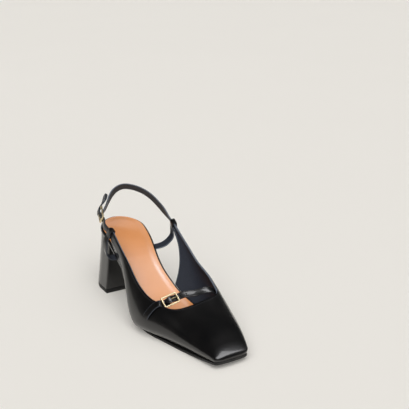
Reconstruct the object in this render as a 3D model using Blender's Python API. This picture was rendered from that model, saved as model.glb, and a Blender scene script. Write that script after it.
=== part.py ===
# Slingback pump with a block heel, the right shoe of a pair.
#
# The shoe stands on the floor at z = 0 with its toe toward -Y, its inner (medial) side toward +X
# and its outer (lateral) side toward -X. The origin is the middle of the heel tip's underside.
# Places along the shoe are given as "at": 0 is the back of the heel seat and 1 is the toe tip.
import math

import bpy
import bmesh
from mathutils import Vector

# Sizes of the whole shoe, in metres
LENGTH = 0.236           # back of the heel seat to the toe tip
HALF_WIDTH = 0.040       # half of the forefoot's width, which the outlines are shares of
HEEL_RISE = 0.0644       # heel seat above the forefoot
TOE_SPRING = 0.0051      # toe tip above the forefoot
UPPER_RISE = 0.040       # height that the upper's sections are shares of

# Layers of the bottom, from the floor up
OUTSOLE = 0.0024
BOARD = 0.0036
SOCK = 0.0007
GAP = 0.0003             # clearance between two pieces that touch
WALL = 0.0016            # leather and lining of the upper
SOCK_BORDER = 0.0023     # black rim of the board that the sock leaves bare

# Rounded ends of the plan outline
BACK_DEPTH = 0.029       # length of the heel seat's rounded end
TOE_DEPTH = 0.0055       # length of the square toe's rounded end
TOE_SQUARENESS = 4.0
TOE_CENTRE = 0.0068

# Heel
HEEL_TIP = 0.005
HEEL_BREAST = 0.0395     # front face of the heel, from the back of the seat
HEEL_HALF_WIDTH = 0.0296 # at the floor
HEEL_OVERHANG = 0.0048   # how far the heel reaches behind the seat at the floor
HEEL_INSET = 0.0006      # how far the heel stays inside the board at its top
REST_CENTRE = 0.018      # middle of the heel tip, from the back of the seat

# Straps
SLING_RISE = 0.0320      # top of the heel strap above the heel seat
STRAP_THICK = 0.0015
SLING_WIDTH = 0.0058
INSTEP_WIDTH = 0.0068
INSTEP_THICK = 0.0013
LOOP_WIDTH = 0.0064
LOOP_CLEARANCE = 0.0006
LAYER_STEPS = 36

# Buckles
BUCKLE_LENGTH = 0.0172
BUCKLE_WIDTH = 0.0108
BUCKLE_WIRE = 0.0013

# The bottom's line along the shoe: heel rise, toe spring and sideways tilt of the bottom
BOTTOM_LINE = (
    # at, rise, spring, tilt
    (0.000, 1.000, 0.00, 0.00),
    (0.110, 0.930, 0.00, 0.00),
    (0.254, 0.769, 0.00, 0.04),
    (0.381, 0.526, 0.00, 0.11),
    (0.441, 0.378, 0.00, 0.16),
    (0.500, 0.215, 0.00, 0.20),
    (0.559, 0.092, 0.00, 0.18),
    (0.614, 0.024, 0.00, 0.09),
    (0.669, 0.000, 0.00, 0.00),
    (0.771, 0.000, 0.00, 0.00),
    (0.847, 0.000, 0.18, 0.00),
    (0.924, 0.000, 0.51, 0.00),
    (1.000, 0.000, 1.00, 0.00),
)

# The board's outline, as shares of HALF_WIDTH
OUTLINE = (
    # at, lateral, medial
    (-0.010, 0.625, 0.625),
    (0.113, 0.632, 0.625),
    (0.254, 0.690, 0.485),
    (0.381, 0.710, 0.365),
    (0.445, 0.755, 0.405),
    (0.508, 0.810, 0.503),
    (0.572, 0.790, 0.655),
    (0.636, 0.690, 0.790),
    (0.699, 0.565, 0.885),
    (0.763, 0.460, 0.900),
    (0.826, 0.375, 0.835),
    (0.890, 0.305, 0.735),
    (0.941, 0.260, 0.650),
    (0.979, 0.225, 0.585),
    (1.000, 0.205, 0.550),
)

# Cross-sections of the last under the upper: sideways places are shares of HALF_WIDTH,
# heights are shares of UPPER_RISE, above the board's edge for the sides, else above its middle
SECTIONS = (
    # at, side x, z lateral, shoulder x, z lateral, ridge x, z, shoulder x, z medial, side x, z medial
    (0.263, -0.785, 0.325, -0.755, 0.768, 0.150, 1.518, 0.980, 0.800, 0.860, 0.345),
    (0.381, -0.815, 0.340, -0.785, 0.798, 0.150, 1.400, 0.965, 0.860, 0.775, 0.340),
    (0.500, -1.000, 0.150, -0.800, 0.800, 0.150, 1.390, 0.940, 1.015, 0.860, 0.310),
    (0.614, -0.980, 0.190, -0.713, 0.835, 0.175, 1.250, 0.900, 1.135, 1.000, 0.370),
    (0.712, -0.760, 0.208, -0.538, 0.733, 0.225, 0.983, 0.838, 0.933, 1.075, 0.333),
    (0.814, -0.550, 0.185, -0.363, 0.523, 0.225, 0.710, 0.750, 0.635, 1.000, 0.260),
    (0.915, -0.395, 0.135, -0.238, 0.335, 0.200, 0.423, 0.650, 0.385, 0.813, 0.173),
    (0.979, -0.300, 0.090, -0.200, 0.180, 0.175, 0.215, 0.550, 0.200, 0.670, 0.113),
    (1.000, -0.275, 0.080, -0.188, 0.140, 0.175, 0.158, 0.525, 0.150, 0.625, 0.090),
)

# Where the section's seven points lie around it, from the lateral edge to the medial edge
AROUND = (0.0, 0.09, 0.27, 0.50, 0.70, 0.90, 1.0)
FLAT_FROM = 0.669        # at, the flat of the outsole that rests on the floor
FLAT_TO = 0.771
LATERAL_CORNER = 0.644   # at, where the lateral topline turns into the throat
MEDIAL_CORNER = 0.703

# The throat of the vamp, from its lateral to its medial corner
THROAT = (
    # around, at
    (0.270, 0.644),
    (0.277, 0.669),
    (0.287, 0.694),
    (0.303, 0.713),
    (0.337, 0.728),
    (0.390, 0.738),
    (0.455, 0.741),
    (0.530, 0.740),
    (0.600, 0.736),
    (0.665, 0.724),
    (0.700, 0.703),
)

# Edges of the two arms in even steps from the throat's corner or the board to the arm's tip;
# heights above the middle of the board's underside are shares of UPPER_RISE
LATERAL_TOPLINE = (
    # at, height
    (0.644, 0.850),
    (0.571, 0.838),
    (0.500, 0.812),
    (0.432, 0.800),
    (0.350, 0.765),
    (0.272, 0.762),
)
LATERAL_REAR = (
    # at, height
    (0.362, -0.070),
    (0.350, 0.090),
    (0.328, 0.195),
    (0.300, 0.250),
    (0.281, 0.400),
    (0.264, 0.560),
)
MEDIAL_TOPLINE = (
    # at, height
    (0.703, 0.950),
    (0.611, 1.108),
    (0.500, 0.935),
    (0.405, 0.785),
    (0.325, 0.735),
    (0.272, 0.780),
)
MEDIAL_REAR = (
    # at, height
    (0.458, 0.080),
    (0.436, 0.235),
    (0.408, 0.372),
    (0.372, 0.470),
    (0.331, 0.512),
    (0.290, 0.530),
    (0.258, 0.605),
)

# Strap round the heel, from the medial arm to its buckle: sideways places are shares of
# HALF_WIDTH, heights above the heel seat are shares of SLING_RISE, lean is in degrees
SLING_ROUTE = (
    # at, x, height, lean
    (0.205, 1.000, 0.520, 4),
    (0.140, 0.970, 0.620, 4),
    (0.060, 0.880, 0.790, 0),
    (0.000, 0.680, 0.940, 0),
    (-0.028, 0.470, 1.010, 0),
    (-0.040, 0.300, 0.985, 0),
    (-0.042, 0.130, 0.870, 6),
    (-0.034, -0.060, 0.730, 10),
    (0.000, -0.300, 0.640, 14),
    (0.055, -0.520, 0.600, 16),
)


class Curve:
    # A smooth curve through rows of (place, value); it runs straight on beyond its ends.
    def __init__(self, rows):
        self.places = [row[0] for row in rows]
        self.values = [row[1] for row in rows]
        count = len(rows)
        self.bends = [0.0] * count
        upper = [0.0] * count
        for i in range(1, count - 1):
            before = self.places[i] - self.places[i - 1]
            after = self.places[i + 1] - self.places[i]
            slope_before = (self.values[i] - self.values[i - 1]) / before
            slope_after = (self.values[i + 1] - self.values[i]) / after
            pivot = 2.0 * (before + after) - before * upper[i - 1]
            upper[i] = after / pivot
            self.bends[i] = (6.0 * (slope_after - slope_before) - before * self.bends[i - 1]) / pivot
        for i in range(count - 2, 0, -1):
            self.bends[i] -= upper[i] * self.bends[i + 1]

    def __call__(self, place):
        last = len(self.places) - 2
        i = 0
        while i < last and place > self.places[i + 1]:
            i += 1
        span = self.places[i + 1] - self.places[i]
        a = (self.places[i + 1] - place) / span
        b = 1.0 - a
        value = a * self.values[i] + b * self.values[i + 1]
        if b < 0.0:
            return value + b * (-2.0 * self.bends[i] - self.bends[i + 1]) * span * span / 6.0
        if a < 0.0:
            return value + a * (-self.bends[i] - 2.0 * self.bends[i + 1]) * span * span / 6.0
        bend = (a ** 3 - a) * self.bends[i] + (b ** 3 - b) * self.bends[i + 1]
        return value + bend * span * span / 6.0


def column(rows, index):
    return Curve([(row[0], row[index]) for row in rows])


def along(rows):
    # The rows as two curves over a share from 0 to 1.
    steps = len(rows) - 1
    return tuple(Curve([(i / steps, row[k]) for i, row in enumerate(rows)]) for k in (0, 1))


rise_curve = column(BOTTOM_LINE, 1)
spring_curve = column(BOTTOM_LINE, 2)
tilt_curve = column(BOTTOM_LINE, 3)
lateral_curve = column(OUTLINE, 1)
medial_curve = column(OUTLINE, 2)
section_curves = [column(SECTIONS, i) for i in range(1, 11)]


def place(x, s, z):
    # s is the distance from the back of the heel seat toward the toe.
    return Vector((x, REST_CENTRE - s, z))


def outsole_bottom(s, x=0.0):
    at = s / LENGTH
    if at > FLAT_TO:
        return TOE_SPRING * max(spring_curve(at), 0.0)
    if at > FLAT_FROM:
        return 0.0
    return max(HEEL_RISE * rise_curve(at) + tilt_curve(at) * x, 0.0)


def board_bottom(s, x=0.0):
    return outsole_bottom(s, x) + OUTSOLE + GAP + 0.00015


def board_top(s, x=0.0):
    return board_bottom(s, x) + BOARD


def cap_share(s, tip, depth, power):
    # 1 in the straight part, falling to 0 at a rounded end.
    inside = abs(tip - s) if (tip - s) * (1 if tip > 0.1 else -1) > 0 else 0.0
    if inside >= depth:
        return 1.0
    return max(1.0 - ((depth - inside) / depth) ** power, 0.0) ** (1.0 / power)


def outline(s, side, inset):
    # Sideways place of the board's edge, moved inward by inset. side is -1 lateral, 1 medial.
    at = s / LENGTH
    curve = lateral_curve if side < 0 else medial_curve
    half = curve(at) * HALF_WIDTH - inset
    half *= cap_share(s, -SOCK_BORDER + inset, BACK_DEPTH - inset, 2.0)
    x = side * half
    toe = cap_share(s, LENGTH - WALL - GAP - inset, TOE_DEPTH, TOE_SQUARENESS)
    return TOE_CENTRE + (x - TOE_CENTRE) * toe


def new_material(name, colour, roughness, metallic=0.0):
    material = bpy.data.materials.new(name)
    material.use_nodes = True
    shader = material.node_tree.nodes["Principled BSDF"]
    shader.inputs["Base Color"].default_value = (*colour, 1.0)
    shader.inputs["Roughness"].default_value = roughness
    shader.inputs["Metallic"].default_value = metallic
    material.diffuse_color = (*colour, 1.0)
    return material


def new_object(name, vertices, faces, material, smooth=True):
    mesh = bpy.data.meshes.new(name)
    mesh.from_pydata([tuple(v) for v in vertices], [], faces)
    work = bmesh.new()
    work.from_mesh(mesh)
    bmesh.ops.remove_doubles(work, verts=work.verts, dist=1e-6)
    bmesh.ops.recalc_face_normals(work, faces=work.faces)
    work.to_mesh(mesh)
    work.free()
    for polygon in mesh.polygons:
        polygon.use_smooth = smooth
    mesh.materials.append(material)
    item = bpy.data.objects.new(name, mesh)
    bpy.context.scene.collection.objects.link(item)
    return item


def skin(rings, close_ends=True):
    # Faces between rings of equal length, each ring a closed loop.
    vertices = [point for ring in rings for point in ring]
    size = len(rings[0])
    faces = []
    for r in range(len(rings) - 1):
        for i in range(size):
            j = (i + 1) % size
            faces.append((r * size + i, r * size + j, (r + 1) * size + j, (r + 1) * size + i))
    if close_ends:
        faces.append(tuple(range(size)))
        faces.append(tuple((len(rings) - 1) * size + i for i in range(size)))
    return vertices, faces


def stations(first, last, rounded_back, inset):
    # Places along the shoe, shared by all layers except in their rounded ends.
    places = []
    back_end = first
    if rounded_back:
        depth = BACK_DEPTH - inset
        for degrees in (4, 12, 21, 31, 42, 54, 67, 80):
            places.append(first + depth * (1.0 - math.cos(math.radians(degrees))))
        back_end = first + depth
    front = last - TOE_DEPTH
    places.append(back_end)
    step = LENGTH / LAYER_STEPS
    for i in range(LAYER_STEPS):
        if back_end + 0.3 * step < i * step < front - 0.3 * step:
            places.append(i * step)
    places.append(front)
    for share in (0.975, 0.90, 0.78, 0.62, 0.45):
        places.append(front + TOE_DEPTH * (1.0 - share ** TOE_SQUARENESS) ** (1.0 / TOE_SQUARENESS))
    return places


def slab(places, inset, top, bottom, edge, across):
    # A flat layer: each ring runs over its top from lateral to medial and back underneath.
    rings = []
    for s in places:
        left = outline(s, -1, inset(s))
        right = outline(s, 1, inset(s))
        edge_here = min(edge, 0.3 * (right - left))
        ring = []
        shares = [i / (across - 1) for i in range(across)]
        inner_left = left + edge_here
        inner_right = right - edge_here
        for share in shares:
            x = inner_left + (inner_right - inner_left) * share
            ring.append(place(x, s, top(s, x)))
        if edge > 0.0:
            ring.append(place(right - 0.3 * edge_here, s, top(s, right) - 0.3 * edge))
            ring.append(place(right, s, top(s, right) - edge))
            ring.append(place(right, s, bottom(s, right) + edge))
            ring.append(place(right - 0.3 * edge_here, s, bottom(s, right) + 0.3 * edge))
        for share in reversed(shares):
            x = inner_left + (inner_right - inner_left) * share
            ring.append(place(x, s, bottom(s, x)))
        if edge > 0.0:
            ring.append(place(left + 0.3 * edge_here, s, bottom(s, left) + 0.3 * edge))
            ring.append(place(left, s, bottom(s, left) + edge))
            ring.append(place(left, s, top(s, left) - edge))
            ring.append(place(left + 0.3 * edge_here, s, top(s, left) - 0.3 * edge))
        rings.append(ring)
    return skin(rings)


def section_point(s, around):
    # A point on the upper's outer face.
    at = s / LENGTH
    values = [curve(at) for curve in section_curves]
    base = board_bottom(s)
    left = lateral_curve(at) * -HALF_WIDTH - GAP - WALL
    right = medial_curve(at) * HALF_WIDTH + GAP + WALL
    xs = [left] + [values[i] * HALF_WIDTH for i in (0, 2, 4, 6, 8)] + [right]
    low_left = board_bottom(s, left)
    low_right = board_bottom(s, right)
    zs = [low_left, low_left + values[1] * UPPER_RISE]
    zs += [base + values[i] * UPPER_RISE for i in (3, 5, 7)]
    zs += [low_right + values[9] * UPPER_RISE, low_right]
    x = Curve(list(zip(AROUND, xs)))(around)
    z = Curve(list(zip(AROUND, zs)))(around)
    toe = cap_share(s, LENGTH, TOE_DEPTH, TOE_SQUARENESS)
    if toe < 1.0:
        x = TOE_CENTRE + (x - TOE_CENTRE) * toe
        z = board_bottom(s) + (z - board_bottom(s)) * toe
    return place(x, s, z)


def around_at_height(s, height, side):
    # Where the section at s passes the given height on one side.
    low, high = (0.0, 0.5) if side < 0 else (1.0, 0.5)
    for _ in range(24):
        middle = 0.5 * (low + high)
        if section_point(s, middle).z < height:
            low = middle
        else:
            high = middle
    return 0.5 * (low + high)


def arm_rows(side, topline, rear, corner_at, corner_around, columns, sole_rows, rear_rows):
    # Rows of one arm from the throat's corner to its tip, each from the sole up to the topline.
    top_at, top_height = along(topline)
    rear_at, rear_height = along(rear)
    edge_around = 0.0 if side < 0 else 1.0
    rows = []
    split = 0.56
    total = sole_rows + rear_rows
    for i in range(total + 1):
        on_sole = i <= sole_rows
        share = split * i / sole_rows if on_sole else split + (1 - split) * (i - sole_rows) / rear_rows
        s_top = top_at(share) * LENGTH
        z_top = board_bottom(s_top) + top_height(share) * UPPER_RISE
        around_top = corner_around if i == 0 else around_at_height(s_top, z_top, side)
        if on_sole:
            s_low = (corner_at + (rear[0][0] - corner_at) * i / sole_rows) * LENGTH
            around_low = edge_around
        else:
            part = (i - sole_rows) / rear_rows
            s_low = rear_at(part) * LENGTH
            z_low = board_bottom(s_low) + rear_height(part) * UPPER_RISE
            around_low = around_at_height(s_low, z_low, side)
        z_low = section_point(s_low, around_low).z
        z_top = section_point(s_top, around_top).z
        row = []
        for j in range(columns + 1):
            share_up = j / columns
            if i == 0:
                around = edge_around + (corner_around - edge_around) * share_up
                row.append(section_point(s_top, around))
                continue
            s = s_low + (s_top - s_low) * share_up
            if j == 0:
                row.append(section_point(s, around_low))
            elif j == columns:
                row.append(section_point(s, around_top))
            else:
                straight = around_low + (around_top - around_low) * share_up
                row.append(section_point(s, straight))
        rows.append(row)
    return rows


def build_upper(material):
    arm_columns = 7
    throat_columns = 15
    vamp_rows = 12
    throat_around, throat_at = along(THROAT)
    columns = []
    for j in range(arm_columns):
        columns.append((THROAT[0][0] * j / arm_columns, LATERAL_CORNER))
    for j in range(throat_columns + 1):
        share = j / throat_columns
        columns.append((throat_around(share), throat_at(share)))
    for j in range(1, arm_columns + 1):
        share = j / arm_columns
        columns.append((THROAT[-1][0] + (1.0 - THROAT[-1][0]) * share, MEDIAL_CORNER))
    front = LENGTH - TOE_DEPTH
    grid = []
    for i in range(vamp_rows + 1):
        share = i / vamp_rows
        grid.append([section_point(at * LENGTH + (front - at * LENGTH) * share, around)
                     for around, at in columns])
    for share in (0.975, 0.90, 0.78, 0.62, 0.42, 0.21):
        s = front + TOE_DEPTH * (1.0 - share ** TOE_SQUARENESS) ** (1.0 / TOE_SQUARENESS)
        grid.append([section_point(s, around) for around, _ in columns])
    vertices = [point for row in grid for point in row]
    width = len(columns)
    faces = []
    for i in range(len(grid) - 1):
        for j in range(width - 1):
            faces.append((i * width + j, i * width + j + 1, (i + 1) * width + j + 1, (i + 1) * width + j))
    tip = len(vertices)
    vertices.append(section_point(LENGTH, 0.5))
    last = (len(grid) - 1) * width
    for j in range(width - 1):
        faces.append((last + j, last + j + 1, tip))
    lateral = arm_rows(-1, LATERAL_TOPLINE, LATERAL_REAR, LATERAL_CORNER, THROAT[0][0], arm_columns, 9, 6)
    medial = arm_rows(1, MEDIAL_TOPLINE, MEDIAL_REAR, MEDIAL_CORNER, THROAT[-1][0], arm_columns, 9, 7)
    for rows in (lateral, medial):
        start = len(vertices)
        size = arm_columns + 1
        vertices += [point for row in rows for point in row]
        for i in range(len(rows) - 1):
            for j in range(arm_columns):
                a = start + i * size + j
                faces.append((a, a + 1, a + size + 1, a + size))
    upper = new_object("upper", vertices, faces, material)
    wall = upper.modifiers.new("leather and lining", "SOLIDIFY")
    wall.thickness = WALL
    wall.offset = -1.0
    wall.use_even_offset = True
    return upper


def build_bottom(materials):
    board_places = stations(-SOCK_BORDER, LENGTH - WALL - GAP, True, 0.0)
    vertices, faces = slab(board_places, lambda s: 0.0, board_top, board_bottom, 0.0012, 7)
    new_object("insole_board", vertices, faces, materials["leather"])

    sock_places = stations(0.0, LENGTH - WALL - GAP - SOCK_BORDER, True, SOCK_BORDER)
    vertices, faces = slab(sock_places, lambda s: SOCK_BORDER,
                           lambda s, x: board_top(s, x) + GAP + SOCK,
                           lambda s, x: board_top(s, x) + GAP, 0.0, 8)
    new_object("sock_lining", vertices, faces, materials["sock"])

    waist = Curve(((0.17, 0.0030), (0.40, 0.0026), (0.52, 0.0006), (0.62, -0.0024), (1.0, -0.0022)))

    def outsole_inset(s):
        return waist(s / LENGTH)

    rear = HEEL_BREAST + GAP
    outsole_places = stations(rear, LENGTH + 0.0004, False, 0.0)
    vertices, faces = slab(outsole_places, outsole_inset,
                           lambda s, x: outsole_bottom(s, x) + OUTSOLE, outsole_bottom, 0.0, 8)
    new_object("outsole", vertices, faces, materials["sole"])


def heel_ring(share, height, half_extra=0.0):
    # One level of the heel: share 0 at the floor, 1 at the board.
    flare = (1.0 - share) ** 1.25
    back = -SOCK_BORDER + HEEL_INSET + (-HEEL_OVERHANG + SOCK_BORDER - HEEL_INSET) * flare
    top_half = 0.625 * HALF_WIDTH - HEEL_INSET
    half = top_half + (HEEL_HALF_WIDTH - top_half) * flare - half_extra
    back += half_extra
    depth = BACK_DEPTH
    corner = 0.0012
    front = HEEL_BREAST - half_extra
    ring = []
    for side in (-1, 1):
        points = [(0.72 * side * half, front), (side * (half - corner), front), (side * half, front - corner)]
        points.append((side * half, 0.5 * (front - corner + back + depth)))
        for degrees in (90, 75, 61, 48, 36, 24, 12):
            angle = math.radians(degrees)
            points.append((side * half * math.sin(angle), back + depth * (1.0 - math.cos(angle))))
        if side < 0:
            points.append((0.0, back))
        else:
            points.reverse()
        ring += points
    ring.append((0.0, front))
    return [place(x, s, height(s, x)) for x, s in ring]


def build_heel(materials):
    tip_rings = [
        heel_ring(0.0, lambda s, x: 0.0, 0.0006),
        heel_ring(0.0, lambda s, x: 0.0005, 0.0002),
        heel_ring(0.0, lambda s, x: HEEL_TIP, 0.0002),
    ]
    vertices, faces = skin(tip_rings)
    new_object("heel_tip", vertices, faces, materials["sole"], smooth=False)
    foot = HEEL_TIP + GAP
    rings = []
    for share in (0.0, 0.2, 0.4, 0.6, 0.8, 1.0):
        rings.append(heel_ring(share, lambda s, x: foot + share * (board_bottom(s, x) - GAP - foot)))
    vertices, faces = skin(rings)
    new_object("heel_block", vertices, faces, materials["leather"], smooth=False)


def frame_at(points, i):
    # Direction of a route at its point i.
    ahead = points[min(i + 1, len(points) - 1)]
    behind = points[max(i - 1, 0)]
    return (ahead - behind).normalized()


def smooth_route(points, count):
    # Evenly spread points on a smooth curve through the given points.
    lengths = [0.0]
    for a, b in zip(points, points[1:]):
        lengths.append(lengths[-1] + (b - a).length)
    curves = [Curve([(d, p[k]) for d, p in zip(lengths, points)]) for k in range(3)]
    return [Vector([curve(lengths[-1] * i / count) for curve in curves]) for i in range(count + 1)]


def band(points, widths, width, thick, pointed=False):
    # A flat strap along points; widths are the directions across its face.
    rings = []
    last = len(points) - 1
    if not isinstance(width, list):
        width = [width] * len(points)
    for i, point in enumerate(points):
        direction = frame_at(points, i)
        across = (widths[i] - direction * widths[i].dot(direction)).normalized()
        out = direction.cross(across).normalized()
        half = 0.5 * (width[i] if isinstance(width, list) else width)
        if pointed and i == last:
            half *= 0.35
        round_off = 0.3 * thick
        flat = 0.5 * thick
        corners = (
            (-half, -flat + round_off), (-half + round_off, -flat), (half - round_off, -flat),
            (half, -flat + round_off), (half, flat - round_off), (half - round_off, flat),
            (-half + round_off, flat), (-half, flat - round_off))
        rings.append([point + across * u + out * v for u, v in corners])
    return skin(rings)


def surface_frame(s, around):
    # Outer face of the upper: the point, its outward direction and the direction to the topline.
    step = 0.0005
    here = section_point(s, around)
    forward = section_point(s + step, around) - section_point(s - step, around)
    over = section_point(s, around + 0.004) - section_point(s, around - 0.004)
    out = forward.cross(over).normalized()
    return here, out


def arm_tip(side):
    # Middle of an arm's end, with the directions along the arm, up across it and outward.
    topline, rear = (LATERAL_TOPLINE, LATERAL_REAR) if side < 0 else (MEDIAL_TOPLINE, MEDIAL_REAR)
    ends = []
    for at, height in (topline[-1], rear[-1]):
        s = at * LENGTH
        z = board_bottom(s) + height * UPPER_RISE
        ends.append(section_point(s, around_at_height(s, z, side)))
    up = (ends[0] - ends[1]).normalized()
    out = Vector((side, 0.0, 0.0))
    out = (out - up * out.dot(up)).normalized()
    along_arm = up.cross(out) * side
    if along_arm.y < 0.0:
        along_arm = -along_arm
    middle = 0.5 * (ends[0] + ends[1]) - out * 0.5 * WALL
    return middle, along_arm, up, out, (ends[0] - ends[1]).length


def join(base, others):
    # Others are fused into base, and kept as hidden helpers.
    for other in others:
        other.hide_render = True
        other.hide_viewport = False
        other.display_type = "WIRE"
        union = base.modifiers.new("join", "BOOLEAN")
        union.operation = "UNION"
        union.object = other


def build_heel_strap(side, name, material):
    # The strap from under the heel seat up to its loop round the end of the arm.
    tip, along_arm, up, out, arm_width = arm_tip(side)
    middle = tip + along_arm * (0.5 * LOOP_WIDTH + (0.0009 if side < 0 else 0.0))
    s = 0.262 * LENGTH
    half_width = 0.5 * LOOP_WIDTH
    edges = [outline(s + step, side, -GAP) for step in (-half_width, 0.0, half_width)]
    x = max(edges) if side > 0 else min(edges)
    z = board_bottom(s, x) + 0.5 * BOARD
    start = place(x, s, z) + Vector((side * 0.5 * GAP, 0.0, 0.0))
    edge = (place(outline(s + 0.004, side, 0.0), s + 0.004, board_bottom(s + 0.004, x)) -
            place(outline(s - 0.004, side, 0.0), s - 0.004, board_bottom(s - 0.004, x))).normalized()
    # The lateral strap comes up outside the arm and the medial one inside it.
    lift = -side * (0.5 * WALL + LOOP_CLEARANCE + 0.5 * STRAP_THICK)
    ends = [middle - up * (0.5 * arm_width + 0.0030) + out * lift * 1.25,
            middle - up * 0.5 * arm_width + out * lift,
            middle - up * 0.15 * arm_width + out * lift]
    if side < 0:
        route = [start, start + Vector((-0.0045, 0.0, 0.0)), start + Vector((-0.0092, 0.001, 0.0052)),
                 start + Vector((-0.0094, 0.002, 0.0130))] + ends
    else:
        route = [start, start + Vector((0.0050, 0.0, 0.0010)), start + Vector((0.0110, 0.001, 0.0062)),
                 start + Vector((0.0156, 0.002, 0.0135))] + ends
    points = smooth_route(route, 16)
    widths = []
    for i in range(len(points)):
        share = i / (len(points) - 1)
        widths.append(((-edge) * (1.0 - share) + along_arm * share).normalized())
    vertices, faces = band(points, widths, LOOP_WIDTH, STRAP_THICK)
    strap = new_object(name, vertices, faces, material)
    inner_up = 0.5 * SLING_WIDTH + 2.0 * LOOP_CLEARANCE
    inner_out = 0.5 * WALL + LOOP_CLEARANCE
    outer_up = inner_up + STRAP_THICK
    outer_out = inner_out + STRAP_THICK
    bevel = 0.0008
    section = []
    for u, v, b in ((outer_up, outer_out, bevel), (inner_up, inner_out, 0.0002)):
        section.append([(u, v - b), (u - b, v), (-u + b, v), (-u, v - b),
                        (-u, -v + b), (-u + b, -v), (u - b, -v), (u, -v + b)])
    vertices = []
    for share in (-0.5, 0.5):
        for loop in section:
            vertices += [middle + up * u + out * v + along_arm * share * LOOP_WIDTH for u, v in loop]
    faces = []
    for i in range(8):
        j = (i + 1) % 8
        faces.append((i, j, 16 + j, 16 + i))
        faces.append((8 + i, 8 + j, 24 + j, 24 + i))
        faces.append((i, j, 8 + j, 8 + i))
        faces.append((16 + i, 16 + j, 24 + j, 24 + i))
    loop = new_object(name + "_loop", vertices, faces, material)
    join(strap, [loop])


def rod(start, end, radius, sides=8):
    direction = (end - start).normalized()
    across = direction.orthogonal().normalized()
    other = direction.cross(across)
    rings = []
    for point in (start, end):
        rings.append([point + (across * math.cos(2 * math.pi * i / sides) +
                               other * math.sin(2 * math.pi * i / sides)) * radius for i in range(sides)])
    return skin(rings)


def build_buckle(name, centre, direction, across, material):
    # A rectangular frame with rounded corners, a middle bar and a prong lying on its front end.
    out = direction.cross(across).normalized()
    wire = 0.5 * BUCKLE_WIRE
    half_length = 0.5 * BUCKLE_LENGTH - wire
    half_width = 0.5 * BUCKLE_WIDTH - wire
    corner = 0.0013
    path = []
    for su, sv, first in ((1, 1, 0), (-1, 1, 90), (-1, -1, 180), (1, -1, 270)):
        for k in range(4):
            angle = math.radians(first + 30 * k)
            path.append((su * (half_length - corner) + corner * math.cos(angle),
                         sv * (half_width - corner) + corner * math.sin(angle), math.radians(first + 30 * k)))
    rings = []
    for u, v, angle in path:
        centre_point = centre + direction * u + across * v
        side_way = direction * math.cos(angle) + across * math.sin(angle)
        rings.append([centre_point + (side_way * math.cos(math.pi * (2 * i + 1) / 6) +
                                      out * math.sin(math.pi * (2 * i + 1) / 6)) * wire for i in range(6)])
    vertices, faces = skin(rings + [rings[0]], close_ends=False)
    frame = new_object(name, vertices, faces, material)
    vertices, faces = rod(centre - across * half_width, centre + across * half_width, 0.85 * wire)
    bar = new_object(name + "_bar", vertices, faces, material)
    return frame, bar, out


def build_sling(materials):
    leather = materials["leather"]
    seat = board_top(0.0)
    middle, along_arm, up, out, _ = arm_tip(1)
    points = [middle + along_arm * 0.0006, middle + along_arm * 0.0045]
    leans = [0.0, 0.0]
    for at, x, height, lean in SLING_ROUTE:
        points.append(place(x * HALF_WIDTH, at * LENGTH, seat + height * SLING_RISE))
        leans.append(math.radians(lean))

    lateral_middle, lateral_along, lateral_up, lateral_out, _ = arm_tip(-1)
    buckle = place(-0.715 * HALF_WIDTH, 0.127 * LENGTH, seat + 0.585 * SLING_RISE)
    direction = Vector((0.27, 0.85, 0.42)).normalized()
    across = Vector((0.20, -0.41, 0.89))
    across = (across - direction * across.dot(direction)).normalized()
    outward = across.cross(direction).normalized()
    if outward.x > 0:
        outward = -outward
    frame, bar, _ = build_buckle("sling_buckle", buckle, direction, across, materials["gold"])
    step = 0.5 * BUCKLE_WIRE + GAP + 0.5 * STRAP_THICK + 0.0001
    points.append(buckle + direction * 0.0095 - outward * step)
    leans.append(math.radians(20))
    points.append(buckle + direction * 0.0010 - outward * step)
    leans.append(math.radians(20))

    route = smooth_route(points, 40)
    lengths = [0.0]
    for a, b in zip(points, points[1:]):
        lengths.append(lengths[-1] + (b - a).length)
    lean_curve = Curve(list(zip(lengths, leans)))
    centre = place(0.1 * HALF_WIDTH, 0.13 * LENGTH, 0.0)
    widths = []
    for i, point in enumerate(route):
        heading = frame_at(route, i)
        outwards = Vector((point.x - centre.x, point.y - centre.y, 0.0))
        outwards = (outwards - heading * outwards.dot(heading)).normalized()
        upward = heading.cross(outwards).normalized()
        if upward.z < 0:
            upward = -upward
        lean = lean_curve(lengths[-1] * i / 40)
        widths.append((upward * math.cos(lean) - outwards * math.sin(lean)).normalized())
    blend_in = 5
    for i in range(blend_in):
        share = i / blend_in
        widths[i] = (up * (1 - share) + widths[i] * share).normalized()
    for i in range(36, 41):
        share = (i - 35) / 5
        widths[i] = (across * share + widths[i] * (1 - share)).normalized()
    vertices, faces = band(route, widths, SLING_WIDTH, STRAP_THICK)
    new_object("sling_strap", vertices, faces, leather)

    free_end = place(-0.33 * HALF_WIDTH, 0.030 * LENGTH, seat + 0.92 * SLING_RISE)
    points = [
        lateral_middle + lateral_along * 0.0007,
        lateral_middle + lateral_along * 0.0050,
        buckle - direction * 0.0150 - outward * 0.9 * step,
        buckle - direction * 0.0078 - outward * step,
        buckle + outward * step,
        buckle + direction * 0.0078 + outward * step,
        buckle * 0.45 + free_end * 0.55 + outward * 0.0034,
        free_end,
    ]
    route = smooth_route(points, 30)
    widths = []
    for i in range(len(route)):
        share = min(i / 10, 1.0)
        widths.append((lateral_up * (1 - share) + across * share).normalized())
    vertices, faces = band(route, widths, SLING_WIDTH, STRAP_THICK, pointed=True)
    new_object("buckle_strap", vertices, faces, leather)
    join(frame, [bar])


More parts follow.
